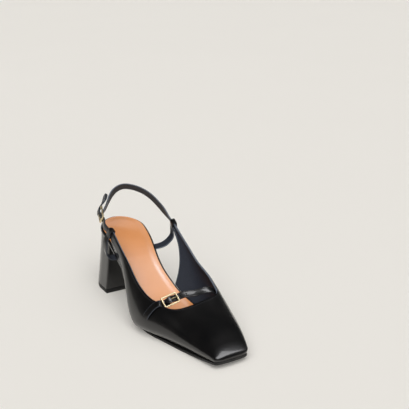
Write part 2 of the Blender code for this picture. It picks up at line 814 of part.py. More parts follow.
def build_instep(materials):
    leather = materials["leather"]
    buckle = place(-0.338 * HALF_WIDTH, 0.660 * LENGTH, 0.0401)
    direction = Vector((-0.985, -0.02, -0.17)).normalized()
    across = Vector((0.0, 0.70, 0.70))
    across = (across - direction * across.dot(direction)).normalized()
    outward = across.cross(direction).normalized()
    if outward.z < 0:
        outward = -outward
    frame, bar, _ = build_buckle("instep_buckle", buckle, direction, across, materials["gold"])
    step = 0.5 * BUCKLE_WIRE + GAP + 0.5 * INSTEP_THICK

    point, out = surface_frame(0.685 * LENGTH, 0.775)
    inside = point - out * (WALL + GAP + 0.5 * STRAP_THICK + 0.0011)
    points = [
        inside,
        place(0.780 * HALF_WIDTH, 0.683 * LENGTH, 0.0408),
        place(0.610 * HALF_WIDTH, 0.678 * LENGTH, 0.0427),
        place(0.340 * HALF_WIDTH, 0.668 * LENGTH, 0.0418),
        buckle - direction * 0.0130 - outward * 0.8 * step,
        buckle - direction * 0.0079 - outward * step,
        buckle + outward * step,
        buckle + direction * 0.0052 + outward * 0.75 * step,
    ]
    route = smooth_route(points, 30)
    widths = []
    for i in range(len(route)):
        share = min(i / 8, 1.0)
        widths.append((Vector((0.0, 1.0, 0.1)) * (1 - share) + across * share).normalized())
    vertices, faces = band(route, widths, INSTEP_WIDTH, INSTEP_THICK, pointed=True)
    new_object("instep_strap", vertices, faces, leather)

    points = [
        buckle + direction * 0.0012 - outward * step,
        buckle + direction * 0.0088 - outward * step,
        buckle + direction * 0.0106 - outward * step + Vector((0.0, 0.0, 0.0012)),
    ]
    _, first_out = surface_frame(0.656 * LENGTH, 0.272)
    outs = [outward, outward, (outward * 0.6 + first_out * 0.4).normalized()]
    lying = 7
    for i in range(lying):
        share = i / (lying - 1)
        at = 0.653 - 0.021 * share ** 0.7
        point, out = surface_frame(at * LENGTH, 0.272 - 0.099 * share)
        points.append(point + out * (GAP + 0.5 * INSTEP_THICK + 0.0002 + 0.0017 * (1.0 - share) ** 2))
        outs.append(out)
    route = points
    widths = []
    for i, out in enumerate(outs):
        widths.append(frame_at(route, i).cross(out).normalized())
    vertices, faces = band(route, widths, INSTEP_WIDTH, INSTEP_THICK)
    new_object("instep_side_strap", vertices, faces, leather)
    join(frame, [bar])


def main():
    for item in list(bpy.data.objects):
        bpy.data.objects.remove(item, do_unlink=True)
    materials = {
        "leather": new_material("black leather", (0.012, 0.012, 0.013), 0.22),
        "sock": new_material("tan leather sock", (0.60, 0.32, 0.18), 0.42),
        "sole": new_material("black sole", (0.02, 0.018, 0.017), 0.5),
        "gold": new_material("pale gold metal", (0.85, 0.70, 0.45), 0.2, 1.0),
    }
    build_upper(materials["leather"])
    build_bottom(materials)
    build_heel(materials)
    build_heel_strap(-1, "heel_strap_lateral", materials["leather"])
    build_heel_strap(1, "heel_strap_medial", materials["leather"])
    build_sling(materials)
    build_instep(materials)


main()
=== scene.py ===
import math
import bpy
import bmesh
from mathutils import Vector, Matrix
from mathutils.bvhtree import BVHTree


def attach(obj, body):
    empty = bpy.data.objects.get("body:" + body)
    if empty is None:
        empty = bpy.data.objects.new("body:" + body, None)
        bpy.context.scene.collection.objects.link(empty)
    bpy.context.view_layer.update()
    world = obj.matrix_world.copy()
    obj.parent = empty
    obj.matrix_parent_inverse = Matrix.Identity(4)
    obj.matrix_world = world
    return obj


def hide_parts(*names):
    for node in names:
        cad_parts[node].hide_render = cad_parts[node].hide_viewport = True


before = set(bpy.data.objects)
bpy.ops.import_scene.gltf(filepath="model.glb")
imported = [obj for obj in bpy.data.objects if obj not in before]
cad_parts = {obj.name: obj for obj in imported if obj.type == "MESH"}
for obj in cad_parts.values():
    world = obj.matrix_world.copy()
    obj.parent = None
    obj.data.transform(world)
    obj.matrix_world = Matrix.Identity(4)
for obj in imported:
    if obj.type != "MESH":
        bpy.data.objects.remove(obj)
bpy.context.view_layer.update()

# Slingback pump, right shoe. Toe toward -Y, inner side +X, outer side -X, floor at z = 0.
# Places along the shoe are "at": 0 at the back of the heel seat, 1 at the toe tip.

shoe = {
    "length": 0.236,
    "halfWidth": 0.040,
    "heelRise": 0.0644,
    "toeSpring": 0.0051,
    "upperRise": 0.040,
    "outsole": 0.0024,
    "board": 0.0036,
    "sock": 0.0007,
    "gap": 0.0003,
    "wall": 0.0016,
    "sockBorder": 0.0023,
    "backDepth": 0.029,
    "toeDepth": 0.0055,
    "toeSquareness": 4.0,
    "creaseDepth": 0.0130,
    "creaseSquareness": 2.5,
    "toeCentre": 0.0068,
    "restCentre": 0.018,
    "flatFrom": 0.669,
    "flatTo": 0.771,
}

print("pump: shapes of the last and the bottom")

# at, rise, spring, tilt
bottomLine = (
    (0.000, 1.000, 0.00, 0.00), (0.110, 0.930, 0.00, 0.00), (0.254, 0.769, 0.00, 0.04),
    (0.381, 0.526, 0.00, 0.11), (0.441, 0.378, 0.00, 0.16), (0.500, 0.215, 0.00, 0.20),
    (0.559, 0.092, 0.00, 0.18), (0.614, 0.024, 0.00, 0.09), (0.669, 0.000, 0.00, 0.00),
    (0.771, 0.000, 0.00, 0.00), (0.847, 0.000, 0.18, 0.00), (0.924, 0.000, 0.51, 0.00),
    (1.000, 0.000, 1.00, 0.00),
)

# at, lateral and medial edge of the board as shares of halfWidth
boardOutline = (
    (-0.010, 0.625, 0.625), (0.113, 0.632, 0.625), (0.254, 0.690, 0.485), (0.381, 0.710, 0.365),
    (0.445, 0.755, 0.405), (0.508, 0.810, 0.503), (0.572, 0.790, 0.655), (0.636, 0.690, 0.790),
    (0.699, 0.565, 0.885), (0.763, 0.460, 0.900), (0.826, 0.375, 0.835), (0.890, 0.305, 0.735),
    (0.941, 0.260, 0.650), (0.979, 0.225, 0.585), (1.000, 0.205, 0.550),
)

# at, then x and height of five points over the foot, from the lateral side to the medial side
lastSections = (
    (0.263, -0.785, 0.325, -0.755, 0.768, 0.150, 1.518, 0.980, 0.800, 0.860, 0.345),
    (0.381, -0.815, 0.340, -0.785, 0.798, 0.150, 1.400, 0.965, 0.860, 0.775, 0.340),
    (0.500, -1.000, 0.150, -0.800, 0.800, 0.150, 1.390, 0.940, 1.015, 0.860, 0.310),
    (0.614, -0.980, 0.190, -0.713, 0.835, 0.175, 1.250, 0.900, 1.135, 1.000, 0.370),
    (0.712, -0.760, 0.208, -0.538, 0.733, 0.225, 0.983, 0.838, 0.933, 1.075, 0.333),
    (0.814, -0.550, 0.185, -0.363, 0.523, 0.225, 0.710, 0.750, 0.635, 1.000, 0.260),
    (0.915, -0.395, 0.135, -0.238, 0.335, 0.200, 0.423, 0.650, 0.385, 0.813, 0.173),
    (0.979, -0.300, 0.090, -0.200, 0.180, 0.175, 0.215, 0.550, 0.200, 0.670, 0.113),
    (1.000, -0.275, 0.080, -0.188, 0.140, 0.175, 0.158, 0.525, 0.150, 0.625, 0.090),
)
sectionAround = (0.0, 0.09, 0.27, 0.50, 0.70, 0.90, 1.0)


class SmoothLine:  # smooth curve through rows of (place, value)
    def __init__(self, rows):
        self.places = [row[0] for row in rows]
        self.values = [row[1] for row in rows]
        count = len(rows)
        self.bends = [0.0] * count
        upper = [0.0] * count
        for i in range(1, count - 1):
            before = self.places[i] - self.places[i - 1]
            after = self.places[i + 1] - self.places[i]
            slopeBefore = (self.values[i] - self.values[i - 1]) / before
            slopeAfter = (self.values[i + 1] - self.values[i]) / after
            pivot = 2.0 * (before + after) - before * upper[i - 1]
            upper[i] = after / pivot
            self.bends[i] = (6.0 * (slopeAfter - slopeBefore) - before * self.bends[i - 1]) / pivot
        for i in range(count - 2, 0, -1):
            self.bends[i] -= upper[i] * self.bends[i + 1]

    def __call__(self, place):
        last = len(self.places) - 2
        i = 0
        while i < last and place > self.places[i + 1]:
            i += 1
        span = self.places[i + 1] - self.places[i]
        a = (self.places[i + 1] - place) / span
        b = 1.0 - a
        value = a * self.values[i] + b * self.values[i + 1]
        if b < 0.0:
            return value + b * (-2.0 * self.bends[i] - self.bends[i + 1]) * span * span / 6.0
        if a < 0.0:
            return value + a * (-self.bends[i] - 2.0 * self.bends[i + 1]) * span * span / 6.0
        return value + ((a ** 3 - a) * self.bends[i] + (b ** 3 - b) * self.bends[i + 1]) * span * span / 6.0


def column(rows, index):
    return SmoothLine([(row[0], row[index]) for row in rows])


def along(rows):
    steps = len(rows) - 1
    return tuple(SmoothLine([(i / steps, row[k]) for i, row in enumerate(rows)]) for k in (0, 1))


riseLine = column(bottomLine, 1)
springLine = column(bottomLine, 2)
tiltLine = column(bottomLine, 3)
lateralLine = column(boardOutline, 1)
medialLine = column(boardOutline, 2)
sectionLines = [column(lastSections, i) for i in range(1, 11)]


def spot(x, s, z):  # s runs from the heel seat's back toward the toe
    return Vector((x, shoe["restCentre"] - s, z))


def soleUnder(s, x=0.0):
    at = s / shoe["length"]
    if at > shoe["flatTo"]:
        return shoe["toeSpring"] * max(springLine(at), 0.0)
    if at > shoe["flatFrom"]:
        return 0.0
    return max(shoe["heelRise"] * riseLine(at) + tiltLine(at) * x, 0.0)


def boardUnder(s, x=0.0):
    return soleUnder(s, x) + shoe["outsole"] + shoe["gap"] + 0.00015


def boardOver(s, x=0.0):
    return boardUnder(s, x) + shoe["board"]


def endRound(s, tip, depth, power):  # 1 along the shoe, falling to 0 at a rounded end
    inside = abs(tip - s) if (tip - s) * (1 if tip > 0.1 else -1) > 0 else 0.0
    if inside >= depth:
        return 1.0
    return max(1.0 - ((depth - inside) / depth) ** power, 0.0) ** (1.0 / power)


def boardEdge(s, side, inset):
    line = lateralLine if side < 0 else medialLine
    half = line(s / shoe["length"]) * shoe["halfWidth"] - inset
    half *= endRound(s, -shoe["sockBorder"] + inset, shoe["backDepth"] - inset, 2.0)
    front = shoe["length"] - shoe["wall"] - shoe["gap"] - inset
    toe = endRound(s, front, shoe["toeDepth"], shoe["toeSquareness"])
    return shoe["toeCentre"] + (side * half - shoe["toeCentre"]) * toe


def lastPoint(s, around):  # a point of the upper's outer face
    at = s / shoe["length"]
    values = [line(at) for line in sectionLines]
    width, rise = shoe["halfWidth"], shoe["upperRise"]
    cover = shoe["gap"] + shoe["wall"]
    left = lateralLine(at) * -width - cover
    right = medialLine(at) * width + cover
    base, lowLeft, lowRight = boardUnder(s), boardUnder(s, left), boardUnder(s, right)
    xs = [left] + [values[i] * width for i in (0, 2, 4, 6, 8)] + [right]
    zs = [lowLeft, lowLeft + values[1] * rise] + [base + values[i] * rise for i in (3, 5, 7)]
    zs += [lowRight + values[9] * rise, lowRight]
    x = SmoothLine(list(zip(sectionAround, xs)))(around)
    z = SmoothLine(list(zip(sectionAround, zs)))(around)
    toe = endRound(s, shoe["length"], shoe["toeDepth"], shoe["toeSquareness"])
    x = shoe["toeCentre"] + (x - shoe["toeCentre"]) * toe
    z = base + (z - base) * endRound(s, shoe["length"], shoe["creaseDepth"], shoe["creaseSquareness"])
    return spot(x, s, z)


def aroundAt(s, height, side):
    low, high = (0.0, 0.5) if side < 0 else (1.0, 0.5)
    for _ in range(22):
        middle = 0.5 * (low + high)
        if lastPoint(s, middle).z < height:
            low = middle
        else:
            high = middle
    return 0.5 * (low + high)


def lastFrame(s, around):  # point and outward direction
    step = 0.0005
    forward = lastPoint(s + step, around) - lastPoint(s - step, around)
    over = lastPoint(s, around + 0.004) - lastPoint(s, around - 0.004)
    return lastPoint(s, around), forward.cross(over).normalized()


class Wire:  # a node's output that can stand in a sum
    def __init__(self, bench, socket):
        self.bench = bench
        self.socket = socket

    def sum(self, operation, first, second):
        return self.bench.node("ShaderNodeMath", {"operation": operation}, [first, second])

    def __add__(self, other):
        return self.sum("ADD", self, other)

    def __radd__(self, other):
        return self.sum("ADD", other, self)

    def __sub__(self, other):
        return self.sum("SUBTRACT", self, other)

    def __rsub__(self, other):
        return self.sum("SUBTRACT", other, self)

    def __mul__(self, other):
        return self.sum("MULTIPLY", self, other)

    def __rmul__(self, other):
        return self.sum("MULTIPLY", other, self)


class Bench:  # one material and its nodes
    def __init__(self, name):
        self.material = bpy.data.materials.new(name)
        self.material.use_nodes = True
        self.tree = self.material.node_tree
        self.shader = self.tree.nodes["Principled BSDF"]

    def node(self, kind, settings, values, out=0):
        new = self.tree.nodes.new(kind)
        for key, value in settings.items():
            if key == "stops":
                while len(new.color_ramp.elements) < len(value):
                    new.color_ramp.elements.new(0.5)
                for element, (position, shade) in zip(new.color_ramp.elements, value):
                    element.position = position
                    element.color = (shade, shade, shade, 1.0)
            else:
                setattr(new, key, value)
        for key, value in (values.items() if isinstance(values, dict) else enumerate(values)):
            if isinstance(value, Wire):
                self.tree.links.new(value.socket, new.inputs[key])
            else:
                new.inputs[key].default_value = value
        return Wire(self, new.outputs[out])

    def place(self):
        return self.node("ShaderNodeTexCoord", {}, {}, "Object")

    def noise(self, scale, detail=3.0, rough=0.5):
        return self.node("ShaderNodeTexNoise", {}, {
            "Vector": self.place(), "Scale": scale, "Detail": detail, "Roughness": rough})

    def cells(self, scale, feature="F1"):
        values = {"Vector": self.place(), "Scale": scale}
        return self.node("ShaderNodeTexVoronoi", {"feature": feature}, values)

    def ramp(self, wire, stops):
        return self.node("ShaderNodeValToRGB", {"stops": stops}, [wire])

    def blendColours(self, factor, first, second):
        values = {0: factor, 6: (*first, 1.0), 7: (*second, 1.0)}
        return self.node("ShaderNodeMix", {"data_type": "RGBA"}, values, 2)

    def bump(self, height, strength, depth):
        return self.node("ShaderNodeBump", {}, {"Strength": strength, "Distance": depth, "Height": height})

    def finish(self, **sockets):
        names = {
            "colour": "Base Color", "roughness": "Roughness", "normal": "Normal", "metallic": "Metallic",
            "coat": "Coat Weight", "coatRoughness": "Coat Roughness", "specular": "Specular IOR Level"}
        for key, value in sockets.items():
            socket = self.shader.inputs[names[key]]
            if isinstance(value, Wire):
                self.tree.links.new(value.socket, socket)
            else:
                socket.default_value = value
        return self.material


print("pump: materials")

polish = {
    "deep": (0.0020, 0.0019, 0.0022),
    "worn": (0.0060, 0.0054, 0.0052),
    "roughness": 0.30,
    "spread": 0.10,
    "coat": 0.55,
    "coatRoughness": 0.09,
    "poreScale": 2100.0,
    "wrinkleScale": 330.0,
}


def polishedLeather(name, poreDepth=0.00003, wrinkle=0.35):
    bench = Bench(name)
    cloud = bench.noise(45.0, 4.0)
    pores = bench.ramp(bench.cells(polish["poreScale"]), ((0.0, 0.0), (0.45, 0.8), (1.0, 1.0)))
    wrinkles = bench.noise(polish["wrinkleScale"], 5.0, 0.6)
    height = pores * 0.5 + wrinkles * wrinkle + bench.noise(90.0, 2.0) * 0.6
    patches = bench.ramp(cloud, ((0.35, 0.0), (0.75, 1.0)))
    return bench.finish(
        colour=bench.blendColours(patches, polish["deep"], polish["worn"]),
        roughness=polish["roughness"] + cloud * polish["spread"] - pores * 0.03,
        coat=polish["coat"],
        coatRoughness=polish["coatRoughness"],
        normal=bench.bump(height, 0.35, poreDepth),
    )


lining = {
    "dark": (0.0090, 0.0115, 0.0180),
    "light": (0.0300, 0.0350, 0.0500),
    "grainScale": 1500.0,
}


def liningLeather(name, dark, light):
    bench = Bench(name)
    grain = bench.cells(lining["grainScale"], "SMOOTH_F1")
    pebble = bench.ramp(grain, ((0.05, 0.0), (0.55, 1.0)))
    cloud = bench.noise(120.0, 5.0, 0.6)
    speck = bench.noise(2600.0, 2.0)
    return bench.finish(
        colour=bench.blendColours(pebble * 0.5 + cloud * 0.35 + speck * 0.2, dark, light),
        roughness=0.46 + cloud * 0.16,
        normal=bench.bump(pebble + cloud * 0.6 + speck * 0.3, 0.55, 0.00009),
        specular=0.45,
    )


edgePaint = {
    "scale": 900.0,
    "detail": 3.0,
    "roughness": 0.34,
    "strength": 0.3,
}
sewingThread = {
    "scale": 3800.0,
    "detail": 1.0,
    "roughness": 0.45,
    "strength": 0.5,
}


def streaked(name, dark, light, scale, detail, roughness, strength):
    bench = Bench(name)
    streaks = bench.noise(scale, detail)
    return bench.finish(
        colour=bench.blendColours(streaks, dark, light),
        roughness=roughness + streaks * 0.2,
        normal=bench.bump(streaks, strength, 0.00005),
    )


tan = {
    "deep": (0.740, 0.275, 0.078),
    "pale": (0.870, 0.355, 0.112),
    "poreScale": 1700.0,
}


def tanLeather(name):
    bench = Bench(name)
    cloud = bench.noise(38.0, 4.0)
    fine = bench.noise(1100.0, 4.0, 0.6)
    pores = bench.ramp(bench.cells(tan["poreScale"]), ((0.0, 0.0), (0.35, 1.0)))
    height = pores * 0.5 + fine * 0.5 + cloud * 4.0 + bench.noise(95.0, 2.0) * 2.0
    return bench.finish(
        colour=bench.blendColours(cloud * 0.8 + fine * 0.25 - 0.05, tan["deep"], tan["pale"]),
        roughness=0.33 + cloud * 0.12 + fine * 0.05,
        coat=0.50,
        coatRoughness=0.23,
        normal=bench.bump(height, 0.35, 0.00012),
    )


gold = {
    "bright": (0.960, 0.820, 0.520),
    "dull": (0.860, 0.690, 0.400),
}


def paleGold(name):
    bench = Bench(name)
    cloud = bench.noise(260.0, 3.0)
    drawn = bench.node("ShaderNodeVectorMath", {"operation": "MULTIPLY"}, [bench.place(), (1.0, 1.0, 14.0)])
    scratches = bench.node("ShaderNodeTexNoise", {}, {"Vector": drawn, "Scale": 900.0, "Detail": 2.0})
    return bench.finish(
        colour=bench.blendColours(cloud, gold["dull"], gold["bright"]),
        metallic=0.85,
        roughness=0.24 + cloud * 0.10 + scratches * 0.06,
        normal=bench.bump(scratches, 0.12, 0.00002),
    )


def soleRubber(name, dark, light):
    bench = Bench(name)
    fine = bench.noise(1600.0, 4.0, 0.7)
    cloud = bench.noise(70.0, 3.0)
    return bench.finish(
        colour=bench.blendColours(cloud * 0.6 + fine * 0.4, dark, light),
        roughness=0.48 + fine * 0.2,
        normal=bench.bump(fine, 0.4, 0.00006),
    )


blackLeather = polishedLeather("polished leather")
heelLeather = polishedLeather("heel cover", 0.00002, 0.2)
navyLining = liningLeather("navy lining", lining["dark"], lining["light"])
strapLining = liningLeather("strap lining", (0.016, 0.0145, 0.015), (0.048, 0.044, 0.046))
slateEdge = streaked("edge paint", (0.085, 0.100, 0.130), (0.190, 0.215, 0.260), **edgePaint)
dimEdge = streaked("dim edge", (0.015, 0.019, 0.026), (0.042, 0.050, 0.066), **edgePaint)
blackEdge = streaked("black edge", (0.006, 0.006, 0.007), (0.018, 0.018, 0.020), **edgePaint)
tanSock = tanLeather("tan sock leather")
goldMetal = paleGold("pale gold")
blackSole = soleRubber("sole", (0.006, 0.006, 0.006), (0.018, 0.017, 0.017))
blackTip = soleRubber("heel tip rubber", (0.004, 0.004, 0.004), (0.012, 0.012, 0.012))
blackThread = streaked("black thread", (0.014, 0.014, 0.017), (0.060, 0.062, 0.070), **sewingThread)
slateThread = streaked("slate thread", (0.120, 0.140, 0.170), (0.280, 0.310, 0.360), **sewingThread)


def newObject(name, vertices, faces):
    mesh = bpy.data.meshes.new(name)
    mesh.from_pydata([tuple(v) for v in vertices], [], faces)
    item = bpy.data.objects.new(name, mesh)
    bpy.context.scene.collection.objects.link(item)
    return item


def makePiece(name, shape, materials, faceMaterials=(), replaced=()):
    item = newObject(name, *shape)
    mesh = item.data
    for polygon, index in zip(mesh.polygons, faceMaterials):
        polygon.material_index = index
    work = bmesh.new()
    work.from_mesh(mesh)
    bmesh.ops.remove_doubles(work, verts=work.verts, dist=2e-6)
    bmesh.ops.dissolve_degenerate(work, edges=work.edges, dist=1e-6)
    bmesh.ops.recalc_face_normals(work, faces=work.faces)
    work.to_mesh(mesh)
    work.free()
    for polygon in mesh.polygons:
        polygon.use_smooth = True
    mesh.set_sharp_from_angle(angle=math.radians(48.0))
    for material in materials:
        mesh.materials.append(material)
    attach(item, "root")
    if replaced:
        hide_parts(*replaced)
    return item


def skin(rings, closedPath=False):
    vertices = [point for ring in rings for point in ring]
    size = len(rings[0])
    count = len(rings)
    faces = []
    for r in range(count if closedPath else count - 1):
        following = (r + 1) % count
        for i in range(size):
            j = (i + 1) % size
            faces.append((r * size + i, r * size + j, following * size + j, following * size + i))
    if not closedPath:
        faces.append(tuple(range(size)))
        faces.append(tuple((count - 1) * size + i for i in range(size)))
    return vertices, faces


def hoop(centre, first, second, radius, count):  # a ring of points in the plane of two directions
    turns = [2.0 * math.pi * i / count for i in range(count)]
    return [centre + (first * math.cos(turn) + second * math.sin(turn)) * radius for turn in turns]


def roundedBox(reach, rise, corner, count):
    # (first, second, angle) round a rectangle, with count points on each rounded corner
    for right, up, start in ((1, 1, 0), (-1, 1, 90), (-1, -1, 180), (1, -1, 270)):
        for i in range(count):
            angle = math.radians(start + 90 * i / (count - 1))
            yield (right * (reach - corner) + corner * math.cos(angle),
                   up * (rise - corner) + corner * math.sin(angle), angle)


def square(vector, axis):  # what of a vector is square to an axis, at length 1
    return (vector - axis * vector.dot(axis)).normalized()


def gridFaces(start, rows, columns):
    corners = [start + i * columns + j for i in range(rows - 1) for j in range(columns - 1)]
    return [(a, a + 1, a + columns + 1, a + columns) for a in corners]


def heading(points, i, closedPath=False):
    count = len(points)
    if closedPath:
        return (points[(i + 1) % count] - points[i - 1]).normalized()
    return (points[min(i + 1, count - 1)] - points[max(i - 1, 0)]).normalized()


def distances(points):  # how far along a route each of its points lies
    travelled = [0.0]
    for a, b in zip(points, points[1:]):
        travelled.append(travelled[-1] + (b - a).length)
    return travelled


def stops(travelled, wanted):
    # For rising distances, the stretch in which each falls and its share of that stretch.
    k = 0
    for distance in wanted:
        while k < len(travelled) - 2 and travelled[k + 1] < distance:
            k += 1
        yield k, (distance - travelled[k]) / max(travelled[k + 1] - travelled[k], 1e-9)


def lineThrough(places, vectors):  # smooth curve of vectors over places
    lines = [SmoothLine([(d, v[k]) for d, v in zip(places, vectors)]) for k in range(3)]
    return lambda place: Vector([line(place) for line in lines])


def smoothRoute(points, count):
    lengths = distances(points)
    curve = lineThrough(lengths, points)
    dense = [curve(lengths[-1] * i / (count * 4)) for i in range(count * 4 + 1)]
    travelled = distances(dense)
    wanted = [travelled[-1] * i / count for i in range(count + 1)]
    return [dense[k].lerp(dense[k + 1], min(max(share, 0.0), 1.0)) for k, share in stops(travelled, wanted)]


def toePlaces(front, shares):  # places round the toe's square end
    power = shoe["toeSquareness"]
    return [front + shoe["toeDepth"] * (1.0 - share ** power) ** (1.0 / power) for share in shares]


print("pump: upper")

throatLine = (
    (0.270, 0.644), (0.277, 0.669), (0.287, 0.694), (0.303, 0.713), (0.337, 0.728), (0.390, 0.738),
    (0.455, 0.741), (0.530, 0.740), (0.600, 0.736), (0.665, 0.724), (0.700, 0.703),
)
lateralTop = ((0.644, 0.850), (0.571, 0.838), (0.500, 0.812), (0.432, 0.800), (0.350, 0.765), (0.272, 0.762))
lateralRear = (
    (0.362, -0.070), (0.350, 0.090), (0.328, 0.195), (0.300, 0.250), (0.281, 0.400), (0.264, 0.560),
)
medialTop = ((0.703, 0.950), (0.611, 1.108), (0.500, 0.935), (0.405, 0.785), (0.325, 0.735), (0.272, 0.780))
medialRear = (
    (0.458, 0.080), (0.436, 0.235), (0.408, 0.372), (0.372, 0.470), (0.331, 0.512), (0.290, 0.530),
    (0.258, 0.605),
)

upperShape = {
    "armColumns": 20,
    "throatColumns": 44,
    "vampRows": 44,
    "soleRows": 30,
    "rearRows": 24,
    "armSplit": 0.56,
    "lateralCorner": 0.644,
    "medialCorner": 0.703,
    "edgeRound": 0.00042,
    "stitchInset": 0.0021,
    "toeShares": (0.995, 0.975, 0.94, 0.89, 0.82, 0.73, 0.62, 0.50, 0.37, 0.24, 0.12),
}


def armRows(side, topRows, rearRows, cornerAt, cornerAround):
    length, rise = shoe["length"], shoe["upperRise"]
    columns, split = upperShape["armColumns"], upperShape["armSplit"]
    soleRows, rearSteps = upperShape["soleRows"], upperShape["rearRows"]
    topAt, topHeight = along(topRows)
    rearAt, rearHeight = along(rearRows)
    edgeAround = 0.0 if side < 0 else 1.0
    rows = []
    for i in range(soleRows + rearSteps + 1):
        onSole = i <= soleRows
        part = (i - soleRows) / rearSteps
        share = split * i / soleRows if onSole else split + (1.0 - split) * (i - soleRows) / rearSteps
        sTop = topAt(share) * length
        zTop = boardUnder(sTop) + topHeight(share) * rise
        aroundTop = cornerAround if i == 0 else aroundAt(sTop, zTop, side)
        if onSole:
            sLow = (cornerAt + (rearRows[0][0] - cornerAt) * i / soleRows) * length
            aroundLow = edgeAround
        else:
            sLow = rearAt(part) * length
            aroundLow = aroundAt(sLow, boardUnder(sLow) + rearHeight(part) * rise, side)
        if i == 0:
            sLow = sTop
        row = []
        for j in range(columns + 1):
            up = j / columns
            row.append(lastPoint(sLow + (sTop - sLow) * up, aroundLow + (aroundTop - aroundLow) * up))
        rows.append(row)
    return rows


def buildUpper():
    length = shoe["length"]
    throatAround, throatAt = along(throatLine)
    arms, throat = upperShape["armColumns"], upperShape["throatColumns"]
    columns = [(throatLine[0][0] * j / arms, upperShape["lateralCorner"]) for j in range(arms)]
    columns += [(throatAround(j / throat), throatAt(j / throat)) for j in range(throat + 1)]
    lastAround = throatLine[-1][0]
    corner = upperShape["medialCorner"]
    columns += [(lastAround + (1.0 - lastAround) * j / arms, corner) for j in range(1, arms + 1)]
    front = length - shoe["toeDepth"]
    grid = []
    for i in range(upperShape["vampRows"] + 1):
        share = i / upperShape["vampRows"]
        grid.append([lastPoint(at * length + (front - at * length) * share, around) for around, at in columns])
    for s in toePlaces(front, upperShape["toeShares"]):
        grid.append([lastPoint(s, around) for around, _ in columns])
    vertices = [point for row in grid for point in row]
    width = len(columns)
    faces = gridFaces(0, len(grid), width)
    tip = len(vertices)
    vertices.append(lastPoint(length, 0.5))
    faces += [(j, j + 1, tip) for j in range(tip - width, tip - 1)]
    lateral = armRows(-1, lateralTop, lateralRear, upperShape["lateralCorner"], throatLine[0][0])
    medial = armRows(1, medialTop, medialRear, upperShape["medialCorner"], throatLine[-1][0])
    for rows in (lateral, medial):
        faces += gridFaces(len(vertices), len(rows), arms + 1)
        vertices += [point for row in rows for point in row]
    skins = [blackLeather, navyLining, slateEdge]
    upper = makePiece("upperLeather", (vertices, faces), skins, replaced=("upper",))
    wall = upper.modifiers.new("leather and lining", "SOLIDIFY")
    wall.thickness = shoe["wall"]
    wall.offset = -1.0
    wall.use_even_offset = True
    wall.material_offset = 1
    wall.material_offset_rim = 2
    bevel = upper.modifiers.new("rounded edges", "BEVEL")
    bevel.width = upperShape["edgeRound"]
    bevel.segments = 3
    bevel.limit_method = "ANGLE"
    bevel.angle_limit = math.radians(60.0)
    return upper, grid, lateral, medial


upper, vampGrid, lateralRows, medialRows = buildUpper()


def surfaceTree(item):
    bpy.context.view_layer.update()
    return BVHTree.FromObject(item, bpy.context.evaluated_depsgraph_get())


def pointFrom(row, distance):  # a point on a polyline, that far from its first point
    left = distance
    for a, b in zip(row, row[1:]):
        step = (b - a).length
        if step >= left and step > 0.0:
            return a.lerp(b, left / step)
        left -= step
    return row[-1].copy()


stitchShape = (  # ahead, size, lift
    (-0.5, 0.35, -0.5), (-0.36, 0.95, 0.1), (0.0, 1.0, 0.35), (0.36, 0.95, 0.1), (0.5, 0.35, -0.5),
)


def sewing(name, lines, material, thread):
    # Each stitch is a short rounded length of thread, pressed a little into the leather.
    vertices = []
    faces = []
    turns = [2.0 * math.pi * i / 6 for i in range(6)]
    for line in lines:
        travelled = distances([point for point, _ in line])
        sewn = travelled[-1] - thread["margin"] * 2.0
        count = int(sewn / thread["pitch"])
        middles = [thread["margin"] + (n + 0.5) * sewn / count for n in range(count)]
        for k, share in stops(travelled, middles):
            centre = line[k][0].lerp(line[k + 1][0], share)
            out = line[k][1].lerp(line[k + 1][1], share).normalized()
            forward = square((line[k + 1][0] - line[k][0]).normalized(), out)
            across = out.cross(forward)
            rings = []
            for ahead, size, lift in stitchShape:
                radius = thread["radius"] * size
                rings.append([
                    centre + forward * ahead * thread["length"] + across * radius * math.cos(turn) +
                    out * (radius * math.sin(turn) * 0.8 + lift * thread["radius"] * 0.6) for turn in turns])
            start = len(vertices)
            points, sides = skin(rings)
            vertices += points
            faces += [tuple(start + i for i in side) for side in sides]
    makePiece(name, (vertices, faces), [material])


edgeStitch = {
    "pitch": 0.0024,
    "length": 0.0018,
    "radius": 0.00021,
    "margin": 0.0015,
}


def onSurface(tree, points, inward=0.0):
    # The points on the nearest face, with that face's direction; inward picks the lining side.
    line = []
    for point in points:
        location, normal, _, _ = tree.find_nearest(point)
        if inward:
            location, normal, _, _ = tree.find_nearest(location - normal * inward * 1.02)
        line.append((location, normal))
    return line


def stitchUpper():
    tree = surfaceTree(upper)
    inset, wall = upperShape["stitchInset"], shoe["wall"]
    arms, sole = upperShape["armColumns"], upperShape["soleRows"]
    lateralEdge, medialEdge = (
        [pointFrom(list(reversed(row)), inset) for row in rows[1:-2]] for rows in (lateralRows, medialRows))
    throat = [pointFrom([row[j] for row in vampGrid], inset)
              for j in range(arms + 1, arms + upperShape["throatColumns"])]
    edges = [list(reversed(lateralEdge)) + throat + medialEdge]
    edges += [[pointFrom(row, inset) for row in rows[sole + 1:-2]] for rows in (lateralRows, medialRows)]
    sewing("upperStitchesOutside", [onSurface(tree, edge) for edge in edges], blackThread, edgeStitch)
    sewing("upperStitchesInside", [onSurface(tree, edge, wall) for edge in edges], slateThread, edgeStitch)


print("pump: stitches of the upper")
stitchUpper()

print("pump: bottom")

